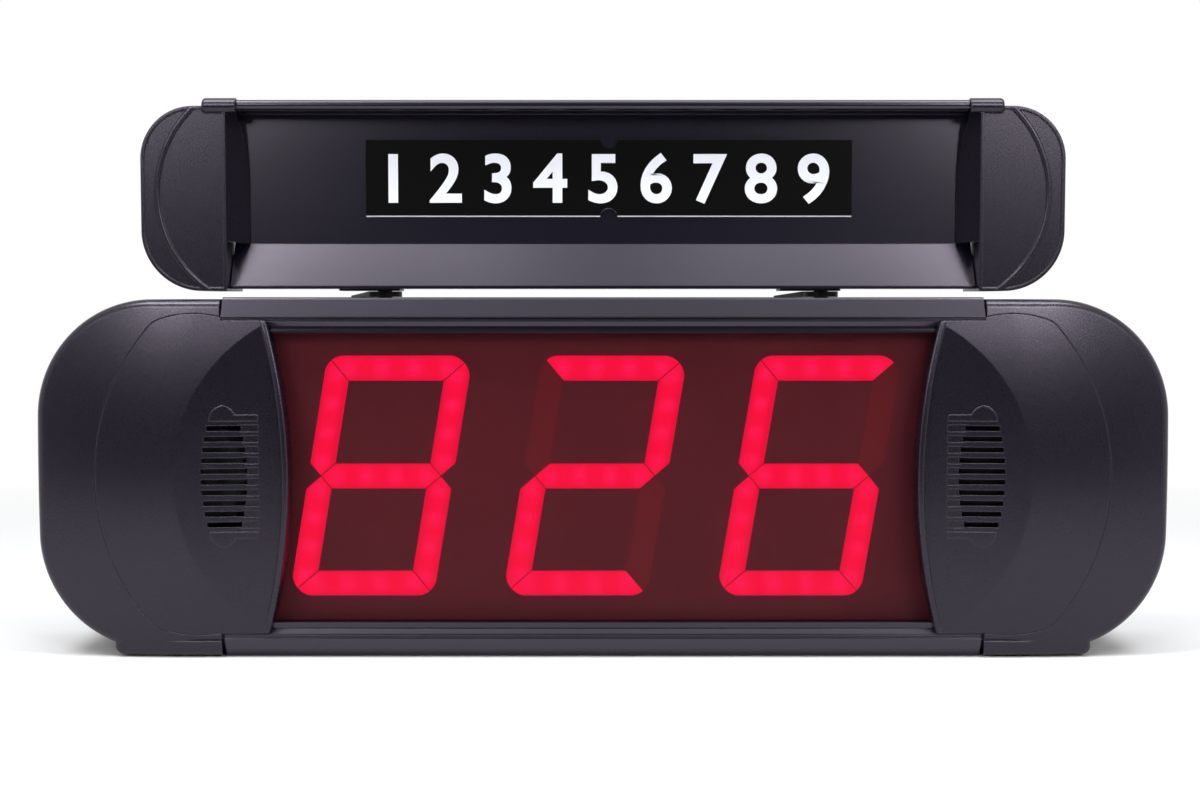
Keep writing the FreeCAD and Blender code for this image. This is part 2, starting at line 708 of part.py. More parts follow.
def digit_nodes():
    """Each module's housing, with its lit and unlit segments as nodes of their own."""
    nodes = {}
    for i, (name, digit) in enumerate(zip(NAMES, SHOWN)):
        centre_x = (i - 1) * MODULE_PITCH
        segments = digit_segments(centre_x + DIGIT_SHIFT)
        half = MODULE_PITCH / 2 - 0.15
        block = box(centre_x - half, centre_x + half, MODULE_FRONT, MODULE_BACK,
                    MIDDLE - MODULE_HEIGHT / 2, MIDDLE + MODULE_HEIGHT / 2)
        nodes[name + "_digit_housing"] = block.cut(list(segments.values()))
        lit = [segments[s] for s in "abcdefg" if s in SEGMENTS_OF[digit]]
        unlit = [segments[s] for s in "abcdefg" if s not in SEGMENTS_OF[digit]]
        nodes[name + "_digit_lit_segments"] = group(lit)
        if unlit:
            nodes[name + "_digit_unlit_segments"] = group(unlit)
    return nodes


# ---------------------------------------------------------------- boards and rear controls
BOARD_HALF = MIDDLE - WALL - 0.3
DRIVER_LENGTH, MAIN_LENGTH = 276.0, 164.0

# Chips and packs: centre X, centre Z, width, height, thickness.
DRIVER_CHIP = (0.0, 88.0, 26.0, 8.0, 3.4)
RESISTOR_PACKS = [(dx, 65.0, 20.0, 6.0, 2.4) for dx in (-14.0, 14.0)]
CONTROLLER_CHIPS = [
    (-31.0, 97.0, 18.0, 18.0, 2.6),
    (1.0, 96.0, 18.0, 8.0, 3.2),
    (25.0, 93.0, 10.0, 6.0, 2.0),
]
HEADER_LENGTH, HEADER_Z = 60.0, (112.0, 117.0)


def board(front, length):
    half = length / 2
    return box(-half, half, front, front + BOARD, MIDDLE - BOARD_HALF, MIDDLE + BOARD_HALF)


def chip(place, face, shift=0.0):
    """A flat block on a board's rear face."""
    x, z, width, height, thick = place
    x += shift
    return box(x - width / 2, x + width / 2, face, face + thick, z - height / 2, z + height / 2)


def driver_board():
    return board(DRIVER_FRONT, DRIVER_LENGTH).cut(key_notches())


def driver_chips():
    """One driver chip behind each module and a row of resistor packs below."""
    return group([chip(place, DRIVER_FRONT + BOARD, i * MODULE_PITCH)
                  for i in (-1, 0, 1) for place in [DRIVER_CHIP] + RESISTOR_PACKS])


def main_board():
    return board(MAIN_FRONT, MAIN_LENGTH)


def controller_chips():
    return group([chip(place, MAIN_BACK) for place in CONTROLLER_CHIPS])


def link_header():
    """A row of stacking pins between the two boards."""
    half = HEADER_LENGTH / 2
    return box(-half, half, DRIVER_FRONT + BOARD, MAIN_FRONT, *HEADER_Z)


CAPACITORS = [(48.0, 112.0, 5.0), (62.0, 112.0, 5.0), (50.0, 96.0, 4.0)]
CAN_LENGTH = 11.5
CAN_BEVEL = 0.5


def capacitors():
    cans = []
    for x, z, radius in CAPACITORS:
        can = rod((x, MAIN_BACK, z), Y, radius, CAN_LENGTH)
        top = [e for e in can.Edges if e.BoundBox.YMin > MAIN_BACK + CAN_LENGTH - CAN_BEVEL]
        cans.append(can.makeChamfer(CAN_BEVEL, top))
    return group(cans)


COIL_X, COIL_Z = -62.0, 108.0
COIL_RADIUS, COIL_POST = 8.5, 5.5
COIL_FLANGE, COIL_LENGTH = 2.0, 9.0


def power_coil():
    """The choke of the power supply: a ferrite drum with a round centre post."""
    back = MAIN_BACK + COIL_LENGTH
    low = rod((COIL_X, MAIN_BACK, COIL_Z), Y, COIL_RADIUS, COIL_FLANGE)
    post = rod((COIL_X, MAIN_BACK, COIL_Z), Y, COIL_POST, COIL_LENGTH)
    high = rod((COIL_X, back - COIL_FLANGE, COIL_Z), Y, COIL_RADIUS, COIL_FLANGE)
    return joined([low, post, high])


SOCKET_X = (-47.0, -27.0)
SOCKET_SIZE = (16.0, 13.4)
SOCKET_MOUTH = (6.0, -3.2, 4.2)
SOCKET_LATCH = (3.0, -5.2, 0.0)
SOCKET_FLOOR = 2.0
JACK_X = -6.0
JACK_HALF = 6.0
JACK_BORE, JACK_PIN = 3.2, 1.0
JACK_FLOOR = 3.0
VOLUME_X = 15.0
CODE_X = (34.0, 49.0)
PANEL_FRONT = PANEL_BACK - PANEL_THICK
SOCKET_BACK = PANEL_BACK


def control_block(x, half_x, half_z, y0, y1):
    """A block about the height at which the rear connectors and controls sit."""
    return box(x - half_x, x + half_x, y0, y1, CONTROL_Z - half_z, CONTROL_Z + half_z)


def control_rod(x, radius, y0, y1):
    return rod((x, y0, CONTROL_Z), Y, radius, y1 - y0)


def data_sockets():
    """Two modular sockets that face backwards, open down to their contacts."""
    sockets = []
    for x in SOCKET_X:
        body = control_block(x, SOCKET_SIZE[0] / 2, SOCKET_SIZE[1] / 2, MAIN_BACK, SOCKET_BACK)
        hollows = [box(x - half, x + half, MAIN_BACK + SOCKET_FLOOR, SOCKET_BACK + 1,
                       CONTROL_Z + low, CONTROL_Z + high)
                   for half, low, high in (SOCKET_MOUTH, SOCKET_LATCH)]
        sockets.append(body.cut(hollows).removeSplitter())
    return group(sockets)


def power_jack():
    body = control_block(JACK_X, JACK_HALF, JACK_HALF, MAIN_BACK, SOCKET_BACK)
    bore = control_rod(JACK_X, JACK_BORE, MAIN_BACK + JACK_FLOOR, SOCKET_BACK + 1)
    pin = control_rod(JACK_X, JACK_PIN, MAIN_BACK, SOCKET_BACK - 1)
    return body.cut(bore).fuse(pin).removeSplitter()


VOLUME_SEAT = 20.0
VOLUME_HALF = 6.0
VOLUME_STEM = 2.0
STEM_DEPTH = 3.7
KNOB_RADIUS = 5.0
KNOB_GAP = 0.4
KNOB_RECESS = 1.0
FLUTES = 12
FLUTE_RADIUS = 0.7
RUNNING = 0.06


def volume_control():
    """The potentiometer body under the volume knob."""
    body = control_block(VOLUME_X, VOLUME_HALF, VOLUME_HALF, MAIN_BACK, VOLUME_SEAT)
    bore = control_rod(VOLUME_X, VOLUME_STEM + RUNNING, VOLUME_SEAT - STEM_DEPTH - 0.3, VOLUME_SEAT + 1)
    return body.cut(bore)


def volume_knob():
    """A fluted thumb knob with a pointer groove in its face."""
    low, high = VOLUME_SEAT + KNOB_GAP, BACK - KNOB_RECESS
    knob = control_rod(VOLUME_X, KNOB_RADIUS, low, high)
    stem = control_rod(VOLUME_X, VOLUME_STEM, VOLUME_SEAT - STEM_DEPTH, low + 1)
    flutes = []
    for i in range(FLUTES):
        x, z = on_circle((VOLUME_X, CONTROL_Z), KNOB_RADIUS + 0.3, (i + 0.5) * 360 / FLUTES)
        flutes.append(rod((x, low - 1, z), Y, FLUTE_RADIUS, high - low + 2))
    pointer = box(VOLUME_X - 0.5, VOLUME_X + 0.5, high - 0.6, high + 1, CONTROL_Z, CONTROL_Z + 6)
    return knob.fuse(stem).cut(flutes + [pointer]).removeSplitter()


CODE_BACK = PANEL_BACK - 0.2
CODE_HALF = 5.0
ROTOR_RADIUS = 3.2
ROTOR_DEPTH = 2.6
ROTOR_PIVOT = 1.0
PIVOT_DEPTH = 3.0
ARROW_DEPTH = 1.1


def code_switch_bodies():
    """The bodies of the two rotary code switches that set the display's address."""
    bodies = []
    floor = CODE_BACK - ROTOR_DEPTH
    for x in CODE_X:
        body = control_block(x, CODE_HALF, CODE_HALF, MAIN_BACK, CODE_BACK)
        seat = control_rod(x, ROTOR_RADIUS + RUNNING, floor, CODE_BACK + 1)
        pivot = control_rod(x, ROTOR_PIVOT + RUNNING, floor - PIVOT_DEPTH, floor + 1)
        bodies.append(body.cut([seat, pivot]))
    return group(bodies)


def code_rotor(x):
    """A ten-position rotor with an arrow-shaped screwdriver slot."""
    low = CODE_BACK - ROTOR_DEPTH + 0.3
    rotor = control_rod(x, ROTOR_RADIUS, low, CODE_BACK)
    pivot = control_rod(x, ROTOR_PIVOT, low - PIVOT_DEPTH + 0.5, low + 0.5)
    floor = CODE_BACK - ARROW_DEPTH
    shaft = box(x - 0.5, x + 0.5, floor, CODE_BACK + 1, CONTROL_Z - 2.4, CONTROL_Z + 1.2)
    tip = front_prism([(x - 1.5, CONTROL_Z + 1.0), (x + 1.5, CONTROL_Z + 1.0), (x, CONTROL_Z + 2.6)],
                      floor, CODE_BACK + 1)
    return rotor.fuse(pivot).cut([shaft, tip]).removeSplitter()


PANEL_HALF = 74.0
PANEL_Z = (22.0, 62.0)


def rear_panel():
    """The connector plate behind the opening in the back wall."""
    plate = box(-PANEL_HALF, PANEL_HALF, PANEL_FRONT, PANEL_BACK, *PANEL_Z)
    y0, y1 = PANEL_FRONT - 1, PANEL_BACK + 1
    cuts = [rod((x, y0, z), Y, PANEL_SCREW_RADIUS, y1 - y0) for x, z in PANEL_SCREWS]
    cuts += [control_block(x, SOCKET_SIZE[0] / 2, SOCKET_SIZE[1] / 2, y0, y1) for x in SOCKET_X]
    cuts.append(control_block(JACK_X, JACK_HALF, JACK_HALF, y0, y1))
    cuts.append(control_rod(VOLUME_X, KNOB_RADIUS + 0.6, y0, y1))
    cuts += [control_block(x, CODE_HALF, CODE_HALF, y0, y1) for x in CODE_X]
    return plate.cut(cuts)


CROSS_LENGTH, CROSS_WIDTH, CROSS_DEPTH = 4.4, 0.8, 0.8


def rear_panel_screws():
    """Countersunk cross-head screws, their heads just below the back wall."""
    screws = []
    top = BACK - 0.1
    head_height = PANEL_SCREW_HEAD[2]
    for x, z in PANEL_SCREWS:
        head = Part.makeCone(*PANEL_SCREW_HEAD, Vector(x, top - head_height, z), Y)
        foot = (x, top - head_height - PANEL_SCREW_LENGTH, z)
        shank = rod(foot, Y, PANEL_SCREW_RADIUS, PANEL_SCREW_LENGTH)
        cross = [box(x - a / 2, x + a / 2, BACK - CROSS_DEPTH, BACK, z - b / 2, z + b / 2)
                 for a, b in ((CROSS_WIDTH, CROSS_LENGTH), (CROSS_LENGTH, CROSS_WIDTH))]
        screws.append(head.fuse(shank).cut(cross).removeSplitter())
    return group(screws)


# ---------------------------------------------------------------- loudspeaker
SPEAKER_X, SPEAKER_Z = -168.0, 76.0
SPEAKER_FRONT = -19.6


BASKET_DEPTH = 10.0

# Half sections of the loudspeaker: radius, and depth behind its mounting face.
GASKET = [(18.5, POCKET_FLOOR + 0.6 - SPEAKER_FRONT), (21.8, POCKET_FLOOR + 0.6 - SPEAKER_FRONT),
          (21.8, 0.0), (18.5, 0.0)]
BASKET = [(18.5, 0.0), (22.0, 0.0), (22.0, 1.0), (19.6, 1.0), (13.0, BASKET_DEPTH - 1.0),
          (13.0, BASKET_DEPTH), (0.0, BASKET_DEPTH), (0.0, BASKET_DEPTH - 1.0),
          (12.0, BASKET_DEPTH - 1.0), (12.0, BASKET_DEPTH - 1.4), (18.5, 0.8)]
CONE = [(18.4, 0.0), (18.4, 0.6), (16.0, 0.6), (7.0, 5.6), (6.0, 6.0), (0.0, 4.4), (0.0, 3.8),
        (5.8, 5.2), (7.0, 4.8), (15.4, 0.0)]
MAGNET = [(0.0, BASKET_DEPTH), (11.5, BASKET_DEPTH), (11.5, BASKET_DEPTH + 6.0),
          (10.0, BASKET_DEPTH + 8.0), (0.0, BASKET_DEPTH + 8.0)]

CLOTH_X = (WINDOW_LENGTH / 2 + 0.6, 172.0)
CLOTH_Y = (POCKET_FLOOR + 0.7, POCKET_FLOOR + 1.3)
CLOTH_Z = (50.0, 102.0)


def about_speaker(section):
    """Turn a half section about the loudspeaker's axis."""
    lifted = [Vector(SPEAKER_X + radius, SPEAKER_FRONT + depth, SPEAKER_Z) for radius, depth in section]
    return Part.Face(wire_of(lifted)).revolve(Vector(SPEAKER_X, 0, SPEAKER_Z), Y, 360)


def grille_cloth():
    """A black cloth patch glued behind the grille of the right cheek cover."""
    return box(*CLOTH_X, *CLOTH_Y, *CLOTH_Z)


# ---------------------------------------------------------------- sign panel
SIGN_FRONT = -22.0
SIGN_BACK = 8.0
SIGN_PLATE = -7.6
SIGN_SHEET = 2.0
SIGN_FLOOR = 153.6
SIGN_WEB = 1.8
SIGN_LIP = 12.0
LEDGE_FRONT = -18.0
LEDGE_TOP = 172.6
LEDGE_FOOT = SIGN_FLOOR + 1.2
BEAD = (-20.0, 229.5, 2.15)
SLEEVE = (-20.9, 229.0, 3.3)
SLEEVE_X = (-165.9, -151.9)
SIGN_CAP_X = 156.2
SIGN_PROFILE_HALF = 155.8


def ledge_slope():
    """How far the ledge comes forward for each millimetre that it drops."""
    return (SIGN_PLATE - LEDGE_FRONT) / (LEDGE_TOP - LEDGE_FOOT)


def ledge_cavity(clearance):
    """The triangular hollow behind the ledge, in Y and Z, drawn smaller by clearance."""
    slope = ledge_slope()
    skin = SIGN_SHEET * math.sqrt(1 + slope**2) + clearance * (1 + slope)
    floor = SIGN_FLOOR + SIGN_SHEET + clearance
    back = SIGN_PLATE - clearance
    front = LEDGE_FRONT + (floor - LEDGE_FOOT) * slope + skin
    top = LEDGE_TOP - (SIGN_PLATE - back + skin) / slope
    return [(front, floor), (back, floor), (back, top)]


def sign_profile():
    """The extruded panel: plate, top web with its bead, sloping ledge and bottom web."""
    t = SIGN_SHEET
    section = [
        (LEDGE_FRONT, SIGN_FLOOR),
        (SIGN_BACK, SIGN_FLOOR),
        (SIGN_BACK, SIGN_FLOOR + SIGN_LIP),
        (SIGN_BACK - t, SIGN_FLOOR + SIGN_LIP),
        (SIGN_BACK - t, SIGN_FLOOR + t),
        (SIGN_PLATE + t, SIGN_FLOOR + t),
        (SIGN_PLATE + t, SIGN_HIGH),
        (BEAD[0], SIGN_HIGH),
        (BEAD[0], SIGN_HIGH - SIGN_WEB),
        (SIGN_PLATE, SIGN_HIGH - SIGN_WEB),
        (SIGN_PLATE, LEDGE_TOP),
        (LEDGE_FRONT, LEDGE_FOOT),
    ]
    x = SIGN_PROFILE_HALF
    panel = side_prism(section, -x, x).cut(side_prism(ledge_cavity(0), -x - 1, x + 1))
    panel = panel.fuse(rod((-x, BEAD[0], BEAD[1]), X, BEAD[2], 2 * x))
    holes = [rod((post_x, POST_Y, SIGN_FLOOR - 1), Z, STEM_RADIUS + RUNNING, t + 2)
             for post_x in (-POST_X, POST_X)]
    holes += [rod((x0, y0, SIGN_FLOOR - 1), Z, FOOT_SCREW, t + 2) for x0, y0 in foot_screw_places()]
    return panel.cut(holes).removeSplitter()


SIGN_LOW_CORNER = 25.0
SIGN_HIGH_CORNER = 22.0


def sign_outline(inset):
    """The D-shaped outline of the left sign cap, drawn inset."""
    low_r, high_r = SIGN_LOW_CORNER - inset, SIGN_HIGH_CORNER - inset
    x = -SIGN_WIDTH / 2
    low = (x + SIGN_LOW_CORNER, SIGN_LOW + SIGN_LOW_CORNER)
    high = (x + SIGN_HIGH_CORNER, SIGN_HIGH - SIGN_HIGH_CORNER)
    return [
        (-SIGN_CAP_X - inset, SIGN_LOW + inset),
        (low[0], SIGN_LOW + inset),
        (on_circle(low, low_r, 225), (x + inset, low[1])),
        (x + inset, high[1]),
        (on_circle(high, high_r, 135), (high[0], SIGN_HIGH - inset)),
        (-SIGN_CAP_X - inset, SIGN_HIGH - inset),
    ]


RIB_ARC = (-136.0, 193.0, 50.0)
BAND_ARC = ((-153.2, 227.0), (-149.2, 200.0), (-149.6, LEDGE_TOP + 0.6))
RIM_WIDTH = 1.4
RIM_PROUD = 0.8
RIM_ROUND = 0.4
RIB_WIDTH = 2.2
RIB_PROUD = 1.2
RIB_ROUND = 0.8
TONGUE_LENGTH = 12.0
TONGUE_PLAY = 0.15
SLEEVE_ROUND = 1.6


def sign_cap():
    """The left end moulding of the sign: a cup open at the back, with rim, rib and sleeve."""
    cup = front_prism(sign_outline(0), SIGN_FRONT, SIGN_BACK)
    cup = cup.cut(front_prism(sign_outline(SIGN_SHEET), SIGN_FRONT + SIGN_SHEET, SIGN_BACK + 1))
    rim = front_prism(sign_outline(0), SIGN_FRONT - RIM_PROUD, SIGN_FRONT)
    rim = rounded(rim, RIM_ROUND, lambda e: e.BoundBox.YMax < SIGN_FRONT - RIM_PROUD / 2)
    rim = rim.cut(front_prism(sign_outline(RIM_WIDTH), SIGN_FRONT - 2, SIGN_FRONT))
    ring = rod((RIB_ARC[0], SIGN_FRONT - RIB_PROUD, RIB_ARC[1]), Y, RIB_ARC[2], RIB_PROUD)
    ring = ring.cut(rod((RIB_ARC[0], SIGN_FRONT - 2, RIB_ARC[1]), Y, RIB_ARC[2] - RIB_WIDTH, 3))
    ring = rounded(ring, RIB_ROUND, lambda e: e.BoundBox.YMax < SIGN_FRONT - RIB_PROUD / 2)
    rib = ring.common(front_prism(sign_outline(RIM_WIDTH / 2), SIGN_FRONT - 2, SIGN_FRONT))
    top, middle, bottom = BAND_ARC
    band = front_prism([(-SIGN_CAP_X, bottom[1]), bottom, (middle, top), (-SIGN_CAP_X, top[1])],
                       SIGN_FRONT, SIGN_PLATE)
    wedge = top_prism([(-SIGN_CAP_X - 1, SIGN_FRONT), (-SIGN_CAP_X, SIGN_FRONT),
                       (middle[0], SIGN_PLATE - 0.6), (middle[0], SIGN_PLATE),
                       (-SIGN_CAP_X - 1, SIGN_PLATE)], SIGN_LOW, SIGN_HIGH)
    tongue = side_prism(ledge_cavity(TONGUE_PLAY), -SIGN_CAP_X - 1, -SIGN_CAP_X + TONGUE_LENGTH)
    sleeve = rod((SLEEVE_X[0], SLEEVE[0], SLEEVE[1]), X, SLEEVE[2], SLEEVE_X[1] - SLEEVE_X[0])
    sleeve = rounded(sleeve, SLEEVE_ROUND, lambda e: e.BoundBox.XMax < SLEEVE_X[0] + 1)
    cap = joined([cup, rim, rib, band.common(wedge), sleeve, tongue])
    bead_seat = rod((-SIGN_PROFILE_HALF, BEAD[0], BEAD[1]), X, BEAD[2], 20)
    web = box(-SIGN_PROFILE_HALF, 0, BEAD[0], SIGN_BACK, SIGN_HIGH - SIGN_WEB, SIGN_HIGH)
    return cap.cut([bead_seat, web]).removeSplitter()


LABEL_X = 2.5
LABEL_Z = 200.1
LABEL_THICK = 1.6
LABEL_BEVEL = 0.45
NOTCH_RADIUS = 3.6


def sign_label():
    """The laminate plate with a half-round notch in its upper and lower edges."""
    half = LABEL_LENGTH / 2
    y0 = SIGN_PLATE - LABEL_THICK
    low, high = LABEL_Z - LABEL_HEIGHT / 2, LABEL_Z + LABEL_HEIGHT / 2
    plate = box(LABEL_X - half, LABEL_X + half, y0, SIGN_PLATE, low, high)
    edge = [e for e in plate.Edges if e.BoundBox.ZMax < low + 0.1 and e.BoundBox.YMax < y0 + 0.1]
    plate = plate.makeChamfer(LABEL_BEVEL, edge)
    notches = [rod((LABEL_X, y0 - 1, z), Y, NOTCH_RADIUS, LABEL_THICK + 2) for z in (low, high)]
    return plate.cut(notches)


# ---------------------------------------------------------------- sign feet and locking levers
FOOT_PLATE = 0.8
FOOT_REACH = 18.4
FOOT_Y = (POST_Y - 8.0, POST_Y + 7.0)
FOOT_SCREW = 1.3
FOOT_SCREW_HEAD = (2.2, 1.6)
LEVER_LOW = BODY_HEIGHT + 0.2
LEVER_HIGH = SIGN_FLOOR - FOOT_PLATE - 0.2
LEVER_HUB = 7.3
LEVER_REACH = 30.0
LEVER_HALF = 4.6
LEVER_ROUND = 3.0
LEVER_TIP = 0.4
LEVER_ANGLE = 120.0
CLIP_LOW = SIGN_FLOOR + SIGN_SHEET + 0.3
CLIP_THICK = 0.8
CLIP_RADIUS = 5.2
CLIP_SEAT = 2.3
CLIP_MOUTH = 1.5


def foot_screw_places():
    return [(side * POST_X - 13.0, POST_Y + dy) for side in (-1, 1) for dy in (-2.4, 2.4)]


def sign_foot(side):
    """A thin plate under the sign that the lever bears on."""
    x = side * POST_X
    plate = box(x - FOOT_REACH, x + LEVER_HUB, *FOOT_Y, SIGN_FLOOR - FOOT_PLATE, SIGN_FLOOR)
    holes = [rod((x, POST_Y, SIGN_FLOOR - 2), Z, STEM_RADIUS + RUNNING, 4)]
    screws = [place for place in foot_screw_places() if place[0] * side > 0]
    holes += [rod((px, py, SIGN_FLOOR - 2), Z, FOOT_SCREW, 4) for px, py in screws]
    return plate.cut(holes)


def foot_screws():
    """Pan-head screws driven down through the sign's bottom web into the foot plates."""
    screws = []
    for x, y in foot_screw_places():
        head = rod((x, y, SIGN_FLOOR + SIGN_SHEET), Z, *FOOT_SCREW_HEAD)
        shank = rod((x, y, SIGN_FLOOR - FOOT_PLATE), Z, FOOT_SCREW, SIGN_SHEET + FOOT_PLATE)
        screws.append(head.fuse(shank).removeSplitter())
    return group(screws)


def lock_lever(side):
    """A quarter-turn lever: round hub, bevelled arm, and a key under the housing's roof."""
    x = side * POST_X
    hub = rod((x, POST_Y, LEVER_LOW), Z, LEVER_HUB, LEVER_HIGH - LEVER_LOW)
    arm = box(0, LEVER_REACH, -LEVER_HALF, LEVER_HALF, LEVER_LOW, LEVER_HIGH)
    arm = rounded(arm, LEVER_ROUND, lambda e: runs_along(Z)(e) and e.BoundBox.XMin > 1)
    arm = arm.cut(front_prism([
        (LEVER_HUB, LEVER_HIGH),
        (LEVER_REACH + 1, LEVER_LOW + LEVER_TIP),
        (LEVER_REACH + 1, LEVER_HIGH + 1),
        (LEVER_HUB, LEVER_HIGH + 1),
    ], -LEVER_HALF - 1, LEVER_HALF + 1))
    arm.rotate(Vector(0, 0, 0), Z, LEVER_ANGLE)
    arm.translate(Vector(x, POST_Y, 0))
    key_high = BODY_HEIGHT - WALL - KEY_GAP
    key_low = key_high - KEY_THICK
    stem = rod((x, POST_Y, key_low), Z, STEM_RADIUS, CLIP_LOW + 2.0 - key_low)
    key = box(x - KEY_LENGTH / 2, x + KEY_LENGTH / 2, POST_Y - KEY_WIDTH / 2, POST_Y + KEY_WIDTH / 2,
              key_low, key_high)
    return joined([hub, arm, stem, key]).cut(clip_ring(x, STEM_RADIUS + 1))


def clip_ring(x, radius):
    """A flat ring about a lever's stem, down to the floor of its groove."""
    ring = rod((x, POST_Y, CLIP_LOW), Z, radius, CLIP_THICK)
    return ring.cut(rod((x, POST_Y, CLIP_LOW), Z, CLIP_SEAT, CLIP_THICK))


def lever_clip(side):
    """The spring clip that keeps a lever's stem in the sign's bottom web."""
    x = side * POST_X
    mouth = box(x - CLIP_MOUTH, x + CLIP_MOUTH, POST_Y - CLIP_RADIUS - 1, POST_Y,
                CLIP_LOW, CLIP_LOW + CLIP_THICK)
    return clip_ring(x, CLIP_RADIUS).cut(mouth)


# ---------------------------------------------------------------- the whole assembly
def all_nodes():
    cap, cheek, sign_end = end_cap(), cheek_cover(), sign_cap()
    nodes = {
        "housing_profile": housing_profile(),
        "left_end_cap": cap,
        "right_end_cap": mirrored(cap),
        "left_cheek_cover": cheek,
        "right_cheek_cover": mirrored(cheek),
        "end_cap_screws": cap_screws(),
        "mount_inserts": mount_inserts(),
        "display_window": display_window(),
        "driver_board": driver_board(),
        "driver_chips": driver_chips(),
        "board_link_header": link_header(),
        "main_board": main_board(),
        "controller_chips": controller_chips(),
        "capacitors": capacitors(),
        "power_coil": power_coil(),
        "data_sockets": data_sockets(),
        "power_jack": power_jack(),
        "volume_control": volume_control(),
        "volume_knob": volume_knob(),
        "code_switch_bodies": code_switch_bodies(),
        "tens_code_rotor": code_rotor(CODE_X[0]),
        "units_code_rotor": code_rotor(CODE_X[1]),
        "rear_panel": rear_panel(),
        "rear_panel_screws": rear_panel_screws(),
        "speaker_gasket": about_speaker(GASKET),
        "speaker_basket": about_speaker(BASKET),
        "speaker_cone": about_speaker(CONE),
        "speaker_magnet": about_speaker(MAGNET),
        "right_grille_cloth": grille_cloth(),
        "sign_profile": sign_profile(),
        "sign_left_cap": sign_end,
        "sign_right_cap": mirrored(sign_end),
        "sign_label": sign_label(),
        "sign_foot_screws": foot_screws(),
    }
    nodes.update(digit_nodes())
    for name, side in (("left", -1), ("right", 1)):
        nodes[name + "_sign_foot"] = sign_foot(side)
        nodes[name + "_lock_lever"] = lock_lever(side)
        nodes[name + "_lever_clip"] = lever_clip(side)
    return nodes


os.makedirs("parts", exist_ok=True)
for node, shape in all_nodes().items():
    shape.exportStep("parts/" + node + ".step")
    print(node, "valid" if shape.isValid() else "NOT VALID", len(shape.Solids), "solids")
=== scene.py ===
import json
import math

import bmesh
import bpy
from mathutils import Matrix, Vector


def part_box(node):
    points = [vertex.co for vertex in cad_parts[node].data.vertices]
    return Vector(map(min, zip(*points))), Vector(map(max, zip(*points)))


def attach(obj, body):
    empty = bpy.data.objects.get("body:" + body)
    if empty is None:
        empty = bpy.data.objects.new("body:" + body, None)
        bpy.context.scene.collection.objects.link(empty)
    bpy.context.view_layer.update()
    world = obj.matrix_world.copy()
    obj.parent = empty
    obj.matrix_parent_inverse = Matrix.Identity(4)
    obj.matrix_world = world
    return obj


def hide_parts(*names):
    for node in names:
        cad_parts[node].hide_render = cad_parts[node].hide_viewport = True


# The looks of the queue number display. Everything is in metres, in the CAD model's frame:
# +X to the viewer's right, +Y towards the back, +Z up, origin under the middle of the housing.

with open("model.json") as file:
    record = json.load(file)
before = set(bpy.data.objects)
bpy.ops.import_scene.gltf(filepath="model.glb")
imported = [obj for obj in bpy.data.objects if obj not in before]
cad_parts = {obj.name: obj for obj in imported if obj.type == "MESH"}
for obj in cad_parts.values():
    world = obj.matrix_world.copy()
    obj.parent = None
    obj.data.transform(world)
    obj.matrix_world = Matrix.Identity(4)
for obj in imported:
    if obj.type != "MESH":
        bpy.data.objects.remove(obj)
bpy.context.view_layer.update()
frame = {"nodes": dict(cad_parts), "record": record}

MM = 0.001

# ---------------------------------------------------------------- camera and studio
# CAMERA_DOWN is in degrees. The lens and the sensor are in millimetres.
CAMERA_PLACE = Vector((-1.24, -721.0, 147.5)) * MM
CAMERA_DOWN = 3.3
CAMERA_LENS = 50.31
SENSOR_WIDTH = 36.0

# The floor's edges, and the distances from the origin between which it fades into the background.
FLOOR_FRONT = 0.50
FLOOR_BACK = 1.60
FLOOR_SIDE = 1.60
FLOOR_DROP = 0.1 * MM
FLOOR_GREY = 0.82
FLOOR_FADE = (0.32, 0.80)

# The brightness of the room in front, behind and overhead. A RISE gives the part of the
# direction's Y or Z, which go from -1 to 1, over which the room or its white backdrop comes in.
ROOM_FRONT = 0.06
ROOM_BACK = 0.80
ROOM_RISE = (-0.3, 0.7)
ROOM_TOP = 0.45
TOP_RISE = (0.55, 0.95)
BACKDROP_RISE = (-0.85, -0.60)

# Each lamp's azimuth and elevation in degrees, width, height, power in watts and colour.
# Azimuth 0 is in front of the object, and 90 is to its right.
LAMP_TARGET = Vector((0.0, 0.0, 0.1))
LAMP_DISTANCE = 1.2
NEUTRAL = (1.0, 1.0, 1.0)
DAYLIGHT = (0.80, 0.89, 1.0)
LAMPS = {
    "front_left": (-26.0, 22.0, 0.24, 0.34, 3.7, NEUTRAL),
    "front_right": (26.0, 22.0, 0.24, 0.34, 4.5, NEUTRAL),
    "side_left": (-42.0, 20.0, 0.30, 0.30, 0.6, NEUTRAL),
    "side_right": (42.0, 20.0, 0.30, 0.30, 1.0, NEUTRAL),
    "high_left": (-55.0, 60.0, 0.35, 0.35, 6.8, NEUTRAL),
    "high_right": (55.0, 60.0, 0.35, 0.35, 5.6, NEUTRAL),
    "chamfer_left": (-24.0, 68.0, 0.28, 0.28, 0.8, NEUTRAL),
    "chamfer_right": (24.0, 68.0, 0.28, 0.28, 0.6, NEUTRAL),
    "top": (0.0, 88.0, 0.90, 0.60, 5.0, DAYLIGHT),
}

# ---------------------------------------------------------------- building materials
# Nearly all values of a noise texture lie in this range.
NOISE_RANGE = (0.3, 0.7)

# The cosine of the turn between the rounded and the plain normal, at an edge and on a face.
EDGE_TO_FACE = (0.72, 0.98)
BEVEL_SAMPLES = 6


def scaled(colour, factor):
    return tuple(channel * factor for channel in colour)


